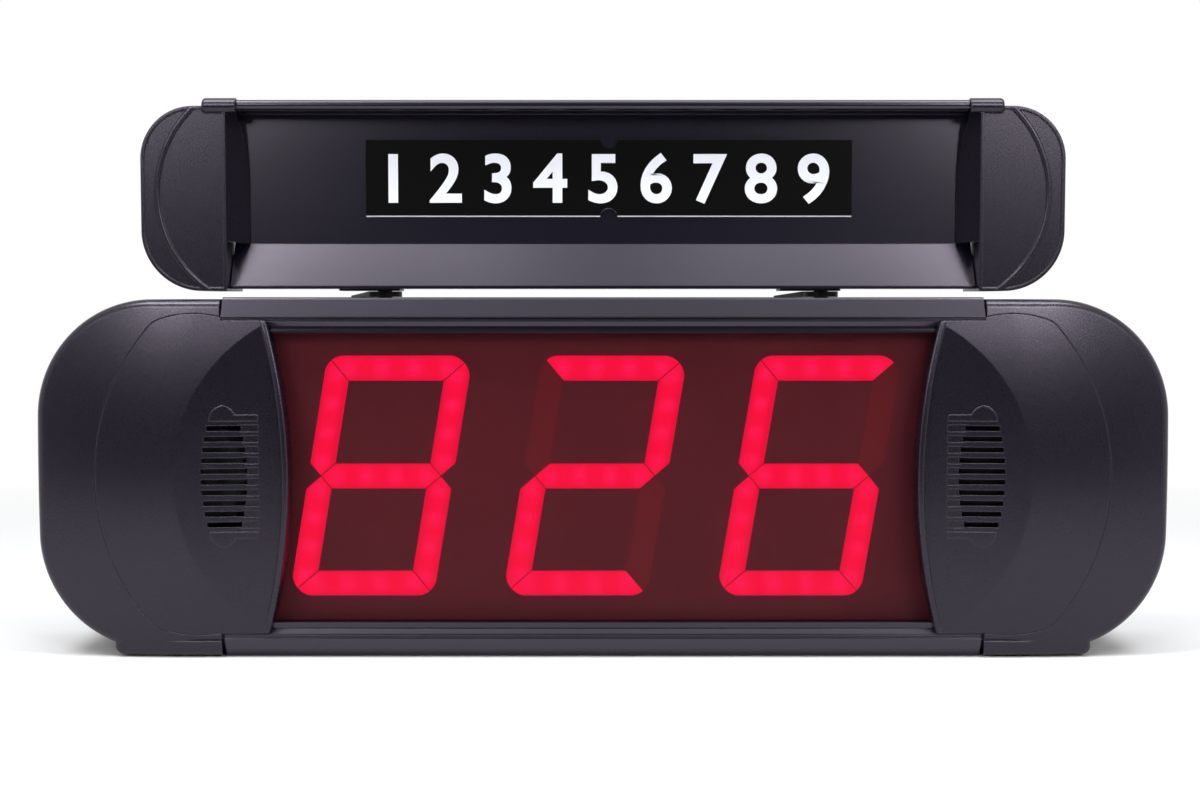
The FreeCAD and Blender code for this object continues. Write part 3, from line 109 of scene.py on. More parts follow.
class Shader:
    """A material, or the world, in the making: adds nodes, links them, and ends with its surface."""

    def __init__(self, name, tree=None, output="ShaderNodeOutputMaterial"):
        self.material = None
        if tree is None:
            self.material = bpy.data.materials.new(name)
            self.material.use_nodes = True
            tree = self.material.node_tree
        self.tree = tree
        self.tree.nodes.clear()
        self.output = self.add(output)
        self.coordinates = self.add("ShaderNodeTexCoord").outputs
        self.place = self.coordinates["Object"]

    def direction(self):
        """The direction in which a ray looks at the world."""
        return self.coordinates["Generated"]

    def add(self, kind, sockets=None, **settings):
        """A new node; sockets gives its inputs by name, as a constant or another node's output."""
        node = self.tree.nodes.new(kind)
        for key, value in settings.items():
            setattr(node, key, value)
        for name, value in (sockets or {}).items():
            self.feed(node.inputs[name], value)
        return node

    def feed(self, socket, value):
        """Link an input to another node's output, or set it to a constant."""
        if isinstance(value, bpy.types.NodeSocket):
            self.tree.links.new(value, socket)
        else:
            socket.default_value = value

    def math(self, operation, first, second=0.0):
        node = self.add("ShaderNodeMath", operation=operation)
        self.feed(node.inputs[0], first)
        self.feed(node.inputs[1], second)
        return node.outputs[0]

    def separated(self, vector):
        """A vector's X, Y and Z, by these names."""
        return self.add("ShaderNodeSeparateXYZ", {"Vector": vector}).outputs

    def span(self, value, low, high, start=0.0, end=1.0):
        """value between start and end, laid out between low and high."""
        sockets = {"Value": value, "From Min": start, "From Max": end, "To Min": low, "To Max": high}
        return self.add("ShaderNodeMapRange", sockets).outputs[0]

    def tint(self, factor, first, second):
        """A colour between first and second."""
        node = self.add("ShaderNodeMixRGB", {"Fac": factor})
        self.feed(node.inputs["Color1"], (*first, 1.0))
        self.feed(node.inputs["Color2"], (*second, 1.0))
        return node.outputs[0]

    def shades(self, noise, colour, darkest, palest):
        """The colour times a factor between darkest and palest, over the range of a noise."""
        factor = self.span(noise, 0.0, 1.0, *NOISE_RANGE)
        return self.tint(factor, scaled(colour, darkest), scaled(colour, palest))

    def grains(self, size, stretch=(1.0, 1.0, 1.0)):
        """Coordinates in which one grain of that size is one unit, drawn out by stretch."""
        scale = [1.0 / (size * s) for s in stretch]
        return self.add("ShaderNodeMapping", {"Vector": self.place, "Scale": scale}).outputs[0]

    def noise(self, size, detail=2.0, stretch=(1.0, 1.0, 1.0)):
        """Cloudy noise whose grains are about size metres."""
        sockets = {"Vector": self.grains(size, stretch), "Scale": 1.0, "Detail": detail}
        return self.add("ShaderNodeTexNoise", sockets).outputs["Fac"]

    def waves(self, axis, grains, scale, distortion=0.0):
        """Parallel waves, side by side along X, Y or Z."""
        sockets = {"Vector": grains, "Scale": scale, "Distortion": distortion}
        return self.add("ShaderNodeTexWave", sockets, bands_direction=axis).outputs["Fac"]

    def bump(self, height, depth, normal=None):
        """A normal from height, where a change of 1 in height is depth metres."""
        node = self.add("ShaderNodeBump", {"Height": height, "Distance": depth, "Strength": 1.0})
        if normal is not None:
            self.feed(node.inputs["Normal"], normal)
        return node.outputs[0]

    def soft_edges(self, radius):
        """Normals that turn edges of the mesh into small rounds of that radius."""
        return self.add("ShaderNodeBevel", {"Radius": radius}, samples=BEVEL_SAMPLES).outputs[0]

    def edge_mask(self, radius):
        """1 along the edges of the mesh, 0 on its faces."""
        rounded = self.soft_edges(radius)
        plain = self.add("ShaderNodeNewGeometry").outputs["Normal"]
        turn = self.add("ShaderNodeVectorMath", {0: rounded, 1: plain}, operation="DOT_PRODUCT")
        return self.span(turn.outputs["Value"], 1.0, 0.0, *EDGE_TO_FACE)

    def mixed(self, factor, first, second):
        """The first surface where factor is 0, the second where it is 1."""
        node = self.add("ShaderNodeMixShader", {"Fac": factor})
        self.feed(node.inputs[1], first.outputs[0])
        self.feed(node.inputs[2], second.outputs[0])
        return node

    def finish(self, surface):
        self.feed(self.output.inputs["Surface"], surface.outputs[0])
        return self.material

    def principled(self, colour, roughness, normal=None, **others):
        """A Principled surface. others gives more sockets, with _ for a space."""
        node = self.add("ShaderNodeBsdfPrincipled")
        self.feed(node.inputs["Base Color"], (*colour, 1.0) if isinstance(colour, tuple) else colour)
        self.feed(node.inputs["Roughness"], roughness)
        if normal is not None:
            self.feed(node.inputs["Normal"], normal)
        for name, value in others.items():
            self.feed(node.inputs[name.replace("_", " ")], value)
        return self.finish(node)


# ---------------------------------------------------------------- plastic and anodised metal
EDGE = 0.35 * MM
# How much paler the colour of moulded plastic is painted along its edges: a painted highlight where the edges
# would catch the light.
PAINTED_EDGE_HIGHLIGHT = 0.035
UNTINTED = (1.0, 1.0, 1.0, 1.0)
COOL = (0.91, 0.83, 1.0, 1.0)

MOTTLE, MOTTLE_SHADES = 9.0 * MM, (0.90, 1.12)
SPARK_SPREAD = 0.05

# Each moulded part's colour and roughness, the size and depth of its texture's grains, and where
# they differ from plain, the radius of its edges and the tint of its reflection.
MOULDED = {
    "cap_plastic": ((0.0030, 0.0020, 0.0060), 0.27, 0.32 * MM, 0.0035 * MM, 0.6 * MM, COOL),
    "chip_black": ((0.012, 0.012, 0.013), 0.50, 0.20 * MM, 0.010 * MM),
    "socket_black": ((0.010, 0.010, 0.011), 0.25, 0.30 * MM, 0.004 * MM),
    "knob_plastic": ((0.020, 0.020, 0.022), 0.40, 0.30 * MM, 0.010 * MM),
    "rotor_white": ((0.70, 0.69, 0.64), 0.35, 0.30 * MM, 0.006 * MM),
    "lever_plastic": ((0.014, 0.014, 0.016), 0.50, 0.40 * MM, 0.015 * MM),
    "foam_black": ((0.010, 0.010, 0.010), 0.90, 0.60 * MM, 0.150 * MM),
}

ANODISED = (0.0032, 0.0027, 0.0072)
ANODISED_GLOSS = (0.210, 0.235)
ANODISED_IOR = 1.60
DIE_LINE, DIE_LINE_STRETCH, DIE_LINE_DEPTH = 0.16 * MM, (240.0, 1.0, 1.0), 0.0004 * MM
DYE_STREAK, DYE_STREAK_STRETCH, DYE_SHADES = 2.4 * MM, (30.0, 1.0, 1.0), (0.86, 1.18)


def moulded_plastic(name, colour, roughness, grain, depth, edge=EDGE, tint=UNTINTED):
    """Injection-moulded plastic: slightly mottled, with a spark-eroded texture, and a painted highlight that
    makes its edges paler.
    """
    s = Shader(name)
    base = s.shades(s.noise(MOTTLE, 3.0), colour, *MOTTLE_SHADES)
    sparks = s.noise(grain)
    # Painted highlight: the colour turns paler along the edges, in place of the light that the edges catch.
    edge_highlighted = s.add("ShaderNodeMixRGB", {"Fac": s.edge_mask(edge), "Color1": base})
    s.feed(edge_highlighted.inputs["Color2"], (*[channel + PAINTED_EDGE_HIGHLIGHT for channel in colour], 1.0))
    gloss = s.span(sparks, roughness - SPARK_SPREAD, roughness + SPARK_SPREAD, *NOISE_RANGE)
    normal = s.bump(sparks, depth, s.soft_edges(edge))
    return s.principled(edge_highlighted.outputs[0], gloss, normal, Specular_Tint=tint)


def anodised_extrusion():
    """Black anodised metal: faint lines along X from the die, and cloudy streaks of dye."""
    s = Shader("anodised_black")
    lines = s.noise(DIE_LINE, stretch=DIE_LINE_STRETCH)
    streaks = s.noise(DYE_STREAK, stretch=DYE_STREAK_STRETCH)
    base = s.shades(streaks, ANODISED, *DYE_SHADES)
    gloss = s.span(lines, *ANODISED_GLOSS, *NOISE_RANGE)
    normal = s.bump(lines, DIE_LINE_DEPTH, s.soft_edges(EDGE))
    return s.principled(base, gloss, normal, IOR=ANODISED_IOR, Specular_Tint=COOL)


# ---------------------------------------------------------------- paint and bright metal
# The colour and roughness of each part with a fine orange peel, and of each bright metal.
COATED = {
    "panel_paint": ((0.012, 0.011, 0.015), 0.50),
    "foot_paint": ((0.016, 0.016, 0.018), 0.45),
    "basket_paint": ((0.020, 0.020, 0.022), 0.35),
    "ferrite": ((0.030, 0.030, 0.034), 0.60),
}
PLATED = {
    "zinc_steel": ((0.62, 0.62, 0.64), 0.30),
    "can_aluminium": ((0.72, 0.72, 0.74), 0.30),
    "contact_gold": ((0.85, 0.62, 0.26), 0.25),
}

COAT_CLOUD, COAT_DARKEST, COAT_PALEST = 6.0 * MM, 0.92, 1.10
PEEL, PEEL_DEPTH, PEEL_SPREAD = 0.55 * MM, 0.03 * MM, 0.05
PLATE_CLOUD, PLATE_DARKEST, PLATE_SMOOTHER, PLATE_ROUGHER = 1.1 * MM, 0.82, 0.08, 0.12
TURNING, TURNING_DEPTH, PLATE_EDGE = 0.12 * MM, 0.004 * MM, 0.15 * MM


def coated_surface(name, colour, roughness):
    """Powder coat over sheet metal, or a fired surface: a fine orange peel."""
    s = Shader(name)
    peel = s.noise(PEEL)
    base = s.tint(s.noise(COAT_CLOUD), scaled(colour, COAT_DARKEST), scaled(colour, COAT_PALEST))
    gloss = s.span(peel, roughness - PEEL_SPREAD, roughness + PEEL_SPREAD)
    return s.principled(base, gloss, s.bump(peel, PEEL_DEPTH))


def plated_metal(name, colour, roughness):
    """Plated or bare metal: bright, slightly cloudy, with fine turning marks."""
    s = Shader(name)
    cloud = s.noise(PLATE_CLOUD, 3.0)
    base = s.tint(cloud, scaled(colour, PLATE_DARKEST), colour)
    gloss = s.span(cloud, roughness - PLATE_SMOOTHER, roughness + PLATE_ROUGHER)
    normal = s.bump(s.noise(TURNING), TURNING_DEPTH, s.soft_edges(PLATE_EDGE))
    return s.principled(base, gloss, normal, Metallic=1.0)


# ---------------------------------------------------------------- window and digits
# The dye is that of one face of the sheet. A ray passes two.
WINDOW_DYE = (0.742, 0.447, 0.490, 1.0)
WINDOW_SHINE = 0.0045
WINDOW_ROUGHNESS = 0.35
RIPPLE, RIPPLE_DEPTH = 26.0 * MM, 0.010 * MM
GRAZING_POWER = 5.0

# A lit segment's map runs from 0 to 1 along it, and from 0 to 1 across it. A range gives where on
# the wave of lamps, or how far from the segment's middle line, a lamp's spot is full and gone.
SEGMENT_MAP = "segment"
LEDS_IN_A_SEGMENT = 4
LIT_BODY = (1.72, 0.018, 0.190)
LIT_SPOT = (1.84, 0.055, 0.420)
SPOT_SHARE = 0.75
SPOT_RANGE = (-1.0, 0.4)
MIDDLE_RANGE = (0.05, 0.5)
RESIN_CLOUD, RESIN_CLOUD_RANGE, RESIN_CLOUD_DARKEST = 1.5 * MM, (0.35, 0.6), 0.75
RIM_STRENGTH, RIM_RANGE = 0.86, (0.0, 0.35)

DULL_TONES = ((0.265, 0.200, 0.180), (0.285, 0.215, 0.195))
DULL_CLOUD, DULL_ROUGHNESS, DULL_SPECULAR = 4.0 * MM, 0.45, 0.3

FACE_TONES = ((0.195, 0.205, 0.205), (0.215, 0.225, 0.220))
FACE_CLOUD, FACE_CLOUD_RANGE = 30.0 * MM, (0.35, 0.65)
FACE_GRAIN, FACE_GRAIN_DEPTH = 0.4 * MM, 0.01 * MM
FACE_ROUGHNESS, FACE_SPECULAR = 0.85, 0.1


def window_acrylic():
    """The red sheet: it dyes what is behind it, and its face shows a faint reflection."""
    s = Shader("window_red")
    ripple = s.bump(s.noise(RIPPLE, 1.0), RIPPLE_DEPTH)
    dye = s.add("ShaderNodeBsdfTransparent", {"Color": WINDOW_DYE})
    sockets = {"Roughness": WINDOW_ROUGHNESS, "Color": UNTINTED, "Normal": ripple}
    gloss = s.add("ShaderNodeBsdfGlossy", sockets)
    facing = s.add("ShaderNodeLayerWeight", {"Blend": 0.5, "Normal": ripple}).outputs["Facing"]
    shine = s.span(s.math("POWER", facing, GRAZING_POWER), WINDOW_SHINE, 1.0)
    return s.finish(s.mixed(shine, dye, gloss))


def lit_resin():
    """Diffusing resin over four lamps: brighter above each, and dimmer at the segment's edges."""
    s = Shader("segment_lit")
    place = s.separated(s.add("ShaderNodeUVMap", uv_map=SEGMENT_MAP).outputs[0])
    wave = s.math("COSINE", s.math("MULTIPLY", place["X"], 2.0 * math.pi * LEDS_IN_A_SEGMENT))
    above = s.span(wave, 1.0, 0.0, *SPOT_RANGE)
    from_middle = s.math("ABSOLUTE", s.math("SUBTRACT", place["Y"], 0.5))
    middle = s.span(from_middle, 1.0, 0.0, *MIDDLE_RANGE)
    cloud = s.span(s.noise(RESIN_CLOUD), RESIN_CLOUD_DARKEST, 1.0, *RESIN_CLOUD_RANGE)
    spot = s.math("MULTIPLY", s.math("MULTIPLY", above, middle), cloud)
    glow = s.tint(s.math("MULTIPLY", spot, SPOT_SHARE), LIT_BODY, LIT_SPOT)
    strength = s.span(middle, RIM_STRENGTH, 1.0, *RIM_RANGE)
    return s.finish(s.add("ShaderNodeEmission", {"Color": glow, "Strength": strength}))


def dull_resin():
    """The same resin with its lamps off."""
    s = Shader("segment_unlit")
    base = s.tint(s.noise(DULL_CLOUD), *DULL_TONES)
    return s.principled(base, DULL_ROUGHNESS, Specular_IOR_Level=DULL_SPECULAR)


def printed_face():
    """Matt grey ink on the face of a digit module."""
    s = Shader("module_face")
    base = s.tint(s.span(s.noise(FACE_CLOUD), 0.0, 1.0, *FACE_CLOUD_RANGE), *FACE_TONES)
    normal = s.bump(s.noise(FACE_GRAIN), FACE_GRAIN_DEPTH)
    return s.principled(base, FACE_ROUGHNESS, normal, Specular_IOR_Level=FACE_SPECULAR)


# ---------------------------------------------------------------- label and print
LAMINATE_TONES = ((0.0012, 0.0012, 0.0014), (0.0022, 0.0021, 0.0024))
LAMINATE_CORE = (0.75, 0.75, 0.78, 1.0)
LAMINATE_CLOUD, LAMINATE_GRAIN, LAMINATE_GRAIN_DEPTH = 0.7 * MM, 0.3 * MM, 0.003 * MM
LAMINATE_ROUGHNESS, LAMINATE_SPECULAR = 0.42, 0.05
DOWNWARD_RANGE = (-0.5, -0.3)

# The two tones of each white, its roughness, and the size and depth of its clouds.
WHITES = {
    "white_vinyl": ((0.76, 0.78, 0.84), (0.82, 0.84, 0.90), 0.38, 5.0 * MM, 0.010 * MM),
    "printed_white": ((0.62, 0.62, 0.60), (0.72, 0.72, 0.70), 0.60, 0.5 * MM, 0.003 * MM),
}


def label_laminate():
    """Engraving laminate: matt black face over a white core that shows at its lower edges."""
    s = Shader("label_laminate")
    face = s.tint(s.noise(LAMINATE_CLOUD), *LAMINATE_TONES)
    upward = s.separated(s.add("ShaderNodeNewGeometry").outputs["Normal"])["Z"]
    below = s.span(upward, 1.0, 0.0, *DOWNWARD_RANGE)
    base = s.add("ShaderNodeMixRGB", {"Fac": below, "Color1": face, "Color2": LAMINATE_CORE})
    normal = s.bump(s.noise(LAMINATE_GRAIN), LAMINATE_GRAIN_DEPTH)
    return s.principled(base.outputs[0], LAMINATE_ROUGHNESS, normal, Specular_IOR_Level=LAMINATE_SPECULAR)


def white_print(name, dark, pale, roughness, size, depth):
    """The sign's vinyl numbers, or the ink of the small numbers and marks on the back."""
    s = Shader(name)
    cloud = s.noise(size)
    return s.principled(s.tint(cloud, dark, pale), roughness, s.bump(cloud, depth))


# ---------------------------------------------------------------- what is inside
BOARD_TONES = ((0.008, 0.075, 0.025), (0.015, 0.12, 0.04))
TRACK, TRACK_STRETCH, TRACK_WINDING = 2.4 * MM, (5.0, 1.0, 1.0), 1.5
TRACK_RANGE, TRACK_DEPTH, BOARD_ROUGHNESS = (0.45, 0.55), 0.03 * MM, 0.3

COPPER_TONES = ((0.12, 0.035, 0.012), (0.55, 0.22, 0.09))
WIRE, WIRE_DEPTH, COPPER_ROUGHNESS, COPPER_METALLIC = 0.5 * MM, 0.15 * MM, 0.3, 0.8

PAPER_TONES = ((0.012, 0.012, 0.013), (0.035, 0.034, 0.036))
FIBRE, FIBRE_STRETCH, FIBRE_DEPTH, PAPER_ROUGHNESS = 0.5 * MM, (3.0, 1.0, 1.0), 0.05 * MM, 0.8

CLOTH_TONES = ((0.002, 0.002, 0.002), (0.012, 0.012, 0.013))
THREAD, THREAD_DEPTH, CLOTH_ROUGHNESS = 0.6 * MM, 0.15 * MM, 0.9

# Wires and threads have this scale on their wave texture.
STRAND_SCALE = 0.5


def circuit_board():
    """Green solder mask over a pattern of copper tracks."""
    s = Shader("board_green")
    tracks = s.waves("Z", s.grains(TRACK, TRACK_STRETCH), 1.0, TRACK_WINDING)
    base = s.tint(s.span(tracks, 0.0, 1.0, *TRACK_RANGE), *BOARD_TONES)
    return s.principled(base, BOARD_ROUGHNESS, s.bump(tracks, TRACK_DEPTH))


def copper_winding():
    """Turns of enamelled wire, side by side along Y."""
    s = Shader("coil_copper")
    turns = s.waves("Y", s.grains(WIRE), STRAND_SCALE)
    normal = s.bump(turns, WIRE_DEPTH)
    return s.principled(s.tint(turns, *COPPER_TONES), COPPER_ROUGHNESS, normal, Metallic=COPPER_METALLIC)


def paper_cone():
    """Black fibrous paper."""
    s = Shader("cone_paper")
    fibres = s.noise(FIBRE, 4.0, FIBRE_STRETCH)
    return s.principled(s.tint(fibres, *PAPER_TONES), PAPER_ROUGHNESS, s.bump(fibres, FIBRE_DEPTH))


def woven_cloth():
    """A plain weave: two crossed sets of threads."""
    s = Shader("cloth_black")
    over, under = [s.waves(axis, s.grains(THREAD), STRAND_SCALE) for axis in ("X", "Z")]
    weave = s.math("MULTIPLY", over, under)
    return s.principled(s.tint(weave, *CLOTH_TONES), CLOTH_ROUGHNESS, s.bump(weave, THREAD_DEPTH))


# ---------------------------------------------------------------- all finishes
TABLES = [(moulded_plastic, MOULDED), (coated_surface, COATED), (plated_metal, PLATED), (white_print, WHITES)]
SINGLE = {
    "anodised_black": anodised_extrusion,
    "window_red": window_acrylic,
    "segment_lit": lit_resin,
    "segment_unlit": dull_resin,
    "module_face": printed_face,
    "label_laminate": label_laminate,
    "board_green": circuit_board,
    "coil_copper": copper_winding,
    "cone_paper": paper_cone,
    "cloth_black": woven_cloth,
}


def make_finishes():
    """Every material by its name, which for the CAD nodes is their slot."""
    made = {name: make() for name, make in SINGLE.items()}
    for make, table in TABLES:
        for name, values in table.items():
            made[name] = make(name, *values)
    return made


def dress_cad_nodes(made):
    """Give every CAD node the finish of its slot."""
    for part in frame["record"]["subparts"]:
        slots = frame["nodes"][part["node"]].data.materials
        finish = made[part["material_slot"]]
        if len(slots) == 0:
            slots.append(finish)
        for i in range(len(slots)):
            slots[i] = finish


# ---------------------------------------------------------------- meshes
def extent(places):
    """The lowest and the highest corner of the box round some places."""
    low = Vector([min(place[i] for place in places) for i in range(3)])
    high = Vector([max(place[i] for place in places) for i in range(3)])
    return low, high


def as_mesh(name, shape):
    """A mesh made of a bmesh, which is freed."""
    mesh = bpy.data.meshes.new(name)
    shape.to_mesh(mesh)
    shape.free()
    return mesh


def merged(name, meshes):
    """One mesh out of several."""
    shape = bmesh.new()
    for mesh in meshes:
        shape.from_mesh(mesh)
    return as_mesh(name, shape)


def block(low, high):
    """A box between two corners, as a mesh."""
    shape = bmesh.new()
    bmesh.ops.create_cube(shape, size=1.0)
    for vert in shape.verts:
        vert.co = Vector([low[i] + (vert.co[i] + 0.5) * (high[i] - low[i]) for i in range(3)])
    return as_mesh("block", shape)


def new_piece(name, mesh, material, body):
    """Put a mesh into the scene as a piece that rides on a body."""
    piece = bpy.data.objects.new(name, mesh)
    bpy.context.scene.collection.objects.link(piece)
    piece.data.materials.clear()
    piece.data.materials.append(material)
    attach(piece, body)
    return piece


# ---------------------------------------------------------------- lit digits
DIGIT_SLANT = math.radians(9.5)
WELD_DISTANCE = 1e-7


def islands(mesh):
    """The mesh as a welded bmesh, and the vertices of each of its separate parts."""
    shape = bmesh.new()
    shape.from_mesh(mesh)
    bmesh.ops.remove_doubles(shape, verts=shape.verts, dist=WELD_DISTANCE)
    shape.verts.ensure_lookup_table()
    todo = set(shape.verts)
    parts = []
    while todo:
        part, front = set(), [todo.pop()]
        while front:
            vert = front.pop()
            part.add(vert)
            near = {edge.other_vert(vert) for edge in vert.link_edges} & todo
            todo -= near
            front += near
        parts.append(part)
    return shape, parts


def segment_place(place, low, high):
    """How far along and across a segment a place is, each from 0 to 1, between the corners of the
    segment's box. An upright segment leans by the digit's slant."""
    middle = (low + high) / 2
    width, height = high.x - low.x, high.z - low.z
    lean = math.tan(DIGIT_SLANT)
    if height > width:
        half_across = (width - height * lean) / 2
        across = place.x - middle.x - (place.z - middle.z) * lean
        along = (place.z - low.z) / height
    else:
        half_across = height / 2
        across = place.z - middle.z
        along = (place.x - low.x) / width
    return along, 0.5 + 0.5 * across / half_across


def lit_digit(name, material):
    """The lit segments of a digit, with a map that tells the finish where the lamps are."""
    node = name + "_digit_lit_segments"
    shape, parts = islands(frame["nodes"][node].data)
    layer = shape.loops.layers.uv.new(SEGMENT_MAP)
    for part in parts:
        low, high = extent([vert.co for vert in part])
        for vert in part:
            for loop in vert.link_loops:
                loop[layer].uv = segment_place(vert.co, low, high)
    mesh = as_mesh(name + "_lit_digit", shape)
    piece = new_piece(name + "_lit_digit", mesh, material, "display")
    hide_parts(node)


# ---------------------------------------------------------------- numbers and marks
# The font's letters are about one unit high. Points that are TEXT_MERGE apart or less are one.
TEXT_MERGE = 0.004
CURVE_STEPS = 6
WALL_LIMIT = 0.5
CORNER_LIMIT = 0.2

SIGN_TEXT = "1 2 3 4 5 6 7 8 9"
SIGN_TEXT_BOLD = 0.022
SIGN_TEXT_WIDTH = 186.0 * MM
SIGN_TEXT_HEIGHT = 21.4 * MM
SIGN_TEXT_THICK = 0.12 * MM
SIGN_TEXT_SUNK = 0.02 * MM

PRINT_THICK = 0.05 * MM
CODES = 10
NUMBER_RADIUS = 4.15 * MM
NUMBER_HEIGHT = 0.95 * MM
NUMBER_BOLD = 0.02
TICKS = 11
TICK_SWEEP = math.radians(140.0)
TICK_FROM, TICK_TO, TICK_HALF = 6.3 * MM, 7.3 * MM, 0.14 * MM


def make_bolder(mesh, bold):
    """Move the side walls of a slab of text outwards, and into the holes of its letters."""
    shape = bmesh.new()
    shape.from_mesh(mesh)
    bmesh.ops.remove_doubles(shape, verts=shape.verts, dist=TEXT_MERGE)
    bmesh.ops.recalc_face_normals(shape, faces=shape.faces)
    moves = []
    for vert in shape.verts:
        walls = [face.normal.copy() for face in vert.link_faces
                 if abs(face.normal.z) < WALL_LIMIT and face.calc_area() > TEXT_MERGE ** 2]
        first = walls[0]
        last = min(walls, key=first.dot)
        moves.append((first + last) * bold / max(1.0 + first.dot(last), CORNER_LIMIT))
    for vert, move in zip(shape.verts, moves):
        vert.co += move
    for face in shape.faces:
        face.smooth = False
    shape.to_mesh(mesh)
    shape.free()


def bold_text(name, text, bold):
    """Text as a slab in X and Y, about one unit high, and the lowest and highest corner of it."""
    curve = bpy.data.curves.new(name, "FONT")
    curve.body = text
    curve.extrude = 0.5
    curve.resolution_u = CURVE_STEPS
    letters = bpy.data.objects.new(name, curve)
    bpy.context.scene.collection.objects.link(letters)
    bpy.context.view_layer.update()
    mesh = bpy.data.meshes.new_from_object(letters.evaluated_get(bpy.context.evaluated_depsgraph_get()))
    bpy.data.objects.remove(letters)
    make_bolder(mesh, bold)
    return mesh, *extent([vert.co for vert in mesh.vertices])


def sign_numbers(material):
    """Plain numbers in the middle of the sign's label, a little sunk into it."""
    label_low, label_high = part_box("sign_label")
    centre = (label_low + label_high) / 2
    centre.y = label_low.y - SIGN_TEXT_THICK / 2 + SIGN_TEXT_SUNK
    mesh, low, high = bold_text("sign_numbers", SIGN_TEXT, SIGN_TEXT_BOLD)
    size = high - low
    for vert in mesh.vertices:
        flat = vert.co - (low + high) / 2
        x = flat.x / size.x * SIGN_TEXT_WIDTH
        y = -flat.z / size.z * SIGN_TEXT_THICK
        z = flat.y / size.y * SIGN_TEXT_HEIGHT
        vert.co = centre + Vector((x, y, z))
    new_piece("sign_numbers", mesh, material, "display")


def code_numbers(material):
    """The numbers 0 to 9 round the rotor of each code switch, as read from behind."""
    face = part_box("code_switch_bodies")[1].y
    numbers = []
    for node in ("tens_code_rotor", "units_code_rotor"):
        rotor_low, rotor_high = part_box(node)
        axis = (rotor_low + rotor_high) / 2
        for number in range(CODES):
            turn = 2.0 * math.pi * number / CODES
            mesh, low, high = bold_text("number", str(number), NUMBER_BOLD)
            scale = NUMBER_HEIGHT / (high.y - low.y)
            for vert in mesh.vertices:
                flat = (vert.co - (low + high) / 2) * scale
                x = axis.x - NUMBER_RADIUS * math.sin(turn) - flat.x
                y = face + math.copysign(PRINT_THICK, flat.z)
                z = axis.z + NUMBER_RADIUS * math.cos(turn) + flat.y
                vert.co = (x, y, z)
            numbers.append(mesh)
    new_piece("code_numbers", merged("code_numbers", numbers), material, "display")


def volume_marks(material):
    """Marks on the panel round the volume knob, over the whole of its turn."""
    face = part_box("rear_panel")[1].y
    low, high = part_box("volume_knob")
    axis = (low + high) / 2
    marks = []
    for i in range(TICKS):
        turn = TICK_SWEEP * (2.0 * i / (TICKS - 1) - 1.0)
        mesh = block((-TICK_HALF, face - PRINT_THICK, TICK_FROM), (TICK_HALF, face + PRINT_THICK, TICK_TO))
        mesh.transform(Matrix.Rotation(-turn, 4, "Y"))
        mesh.transform(Matrix.Translation((axis.x, 0.0, axis.z)))
        marks.append(mesh)
    new_piece("volume_marks", merged("volume_marks", marks), material, "display")


# ---------------------------------------------------------------- springs of the data sockets
SOCKET_CENTRES = (-47.0 * MM, -27.0 * MM)
CONTACTS = 6
CONTACT_PITCH = 1.02 * MM
CONTACT_WIDTH = 0.46 * MM
CONTACT_THICK = 0.22 * MM

# The Y and Z of the bends in a spring, from the mouth of its socket inwards, in millimetres.
CONTACT_LINE = [(26.4, 46.0), (25.2, 46.1), (24.2, 45.6), (19.0, 42.9), (17.8, 42.5), (15.6, 42.5)]
SQUARE = [(-0.5, -0.5), (0.5, -0.5), (0.5, 0.5), (-0.5, 0.5)]


def contact_spring(x):
    """One bent wire of a socket: along the roof of the mouth, then down towards its floor."""
    shape = bmesh.new()
    rings = []
    for y, z in CONTACT_LINE:
        places = [(x + a * CONTACT_WIDTH, y * MM, z * MM + b * CONTACT_THICK) for a, b in SQUARE]
        rings.append([shape.verts.new(place) for place in places])
    for first, second in zip(rings, rings[1:]):
        for i in range(len(SQUARE)):
            shape.faces.new((first[i], first[i - 1], second[i - 1], second[i]))
    shape.faces.new(rings[0])
    shape.faces.new(rings[-1][::-1])
    bmesh.ops.recalc_face_normals(shape, faces=shape.faces)
    return as_mesh("contact", shape)


def socket_contacts(material):
    """The gold-plated springs in both data sockets."""
    springs = [contact_spring(centre + (i - (CONTACTS - 1) / 2) * CONTACT_PITCH)
               for centre in SOCKET_CENTRES for i in range(CONTACTS)]
    new_piece("socket_contacts", merged("socket_contacts", springs), material, "display")


# ---------------------------------------------------------------- masks behind the window
MASK_THICK = 0.3 * MM
MASK_CLEARANCE = 0.3 * MM


def window_masks(material):
    """Strips level with the modules' faces, that close the view beside the digits and between them."""
    window_low, window_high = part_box("display_window")
    left, centre, right = [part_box(side + "_digit_housing") for side in ("left", "centre", "right")]
    front = left[0].y
    spans = [(window_low.x + MASK_CLEARANCE, left[0].x), (left[1].x, centre[0].x),
             (centre[1].x, right[0].x), (right[1].x, window_high.x - MASK_CLEARANCE)]
    strips = [block((low, front, left[0].z), (high, front + MASK_THICK, left[1].z)) for low, high in spans]
    new_piece("window_masks", merged("window_masks", strips), material, "display")


# ---------------------------------------------------------------- studio
def add_camera():
    data = bpy.data.cameras.new("camera")
    data.lens = CAMERA_LENS
    data.sensor_width = SENSOR_WIDTH
    data.sensor_fit = "HORIZONTAL"
    camera = bpy.data.objects.new("camera", data)
    camera.location = CAMERA_PLACE
    camera.rotation_euler = (math.radians(90.0 - CAMERA_DOWN), 0.0, 0.0)
    bpy.context.scene.collection.objects.link(camera)
    bpy.context.scene.camera = camera


def kinds_of_ray(s):
    """1 for rays from the camera, and 1 for rays that come off or through the object."""
    path = s.add("ShaderNodeLightPath").outputs
    return path["Is Camera Ray"], s.math("MAXIMUM", path["Is Glossy Ray"], path["Is Transmission Ray"])


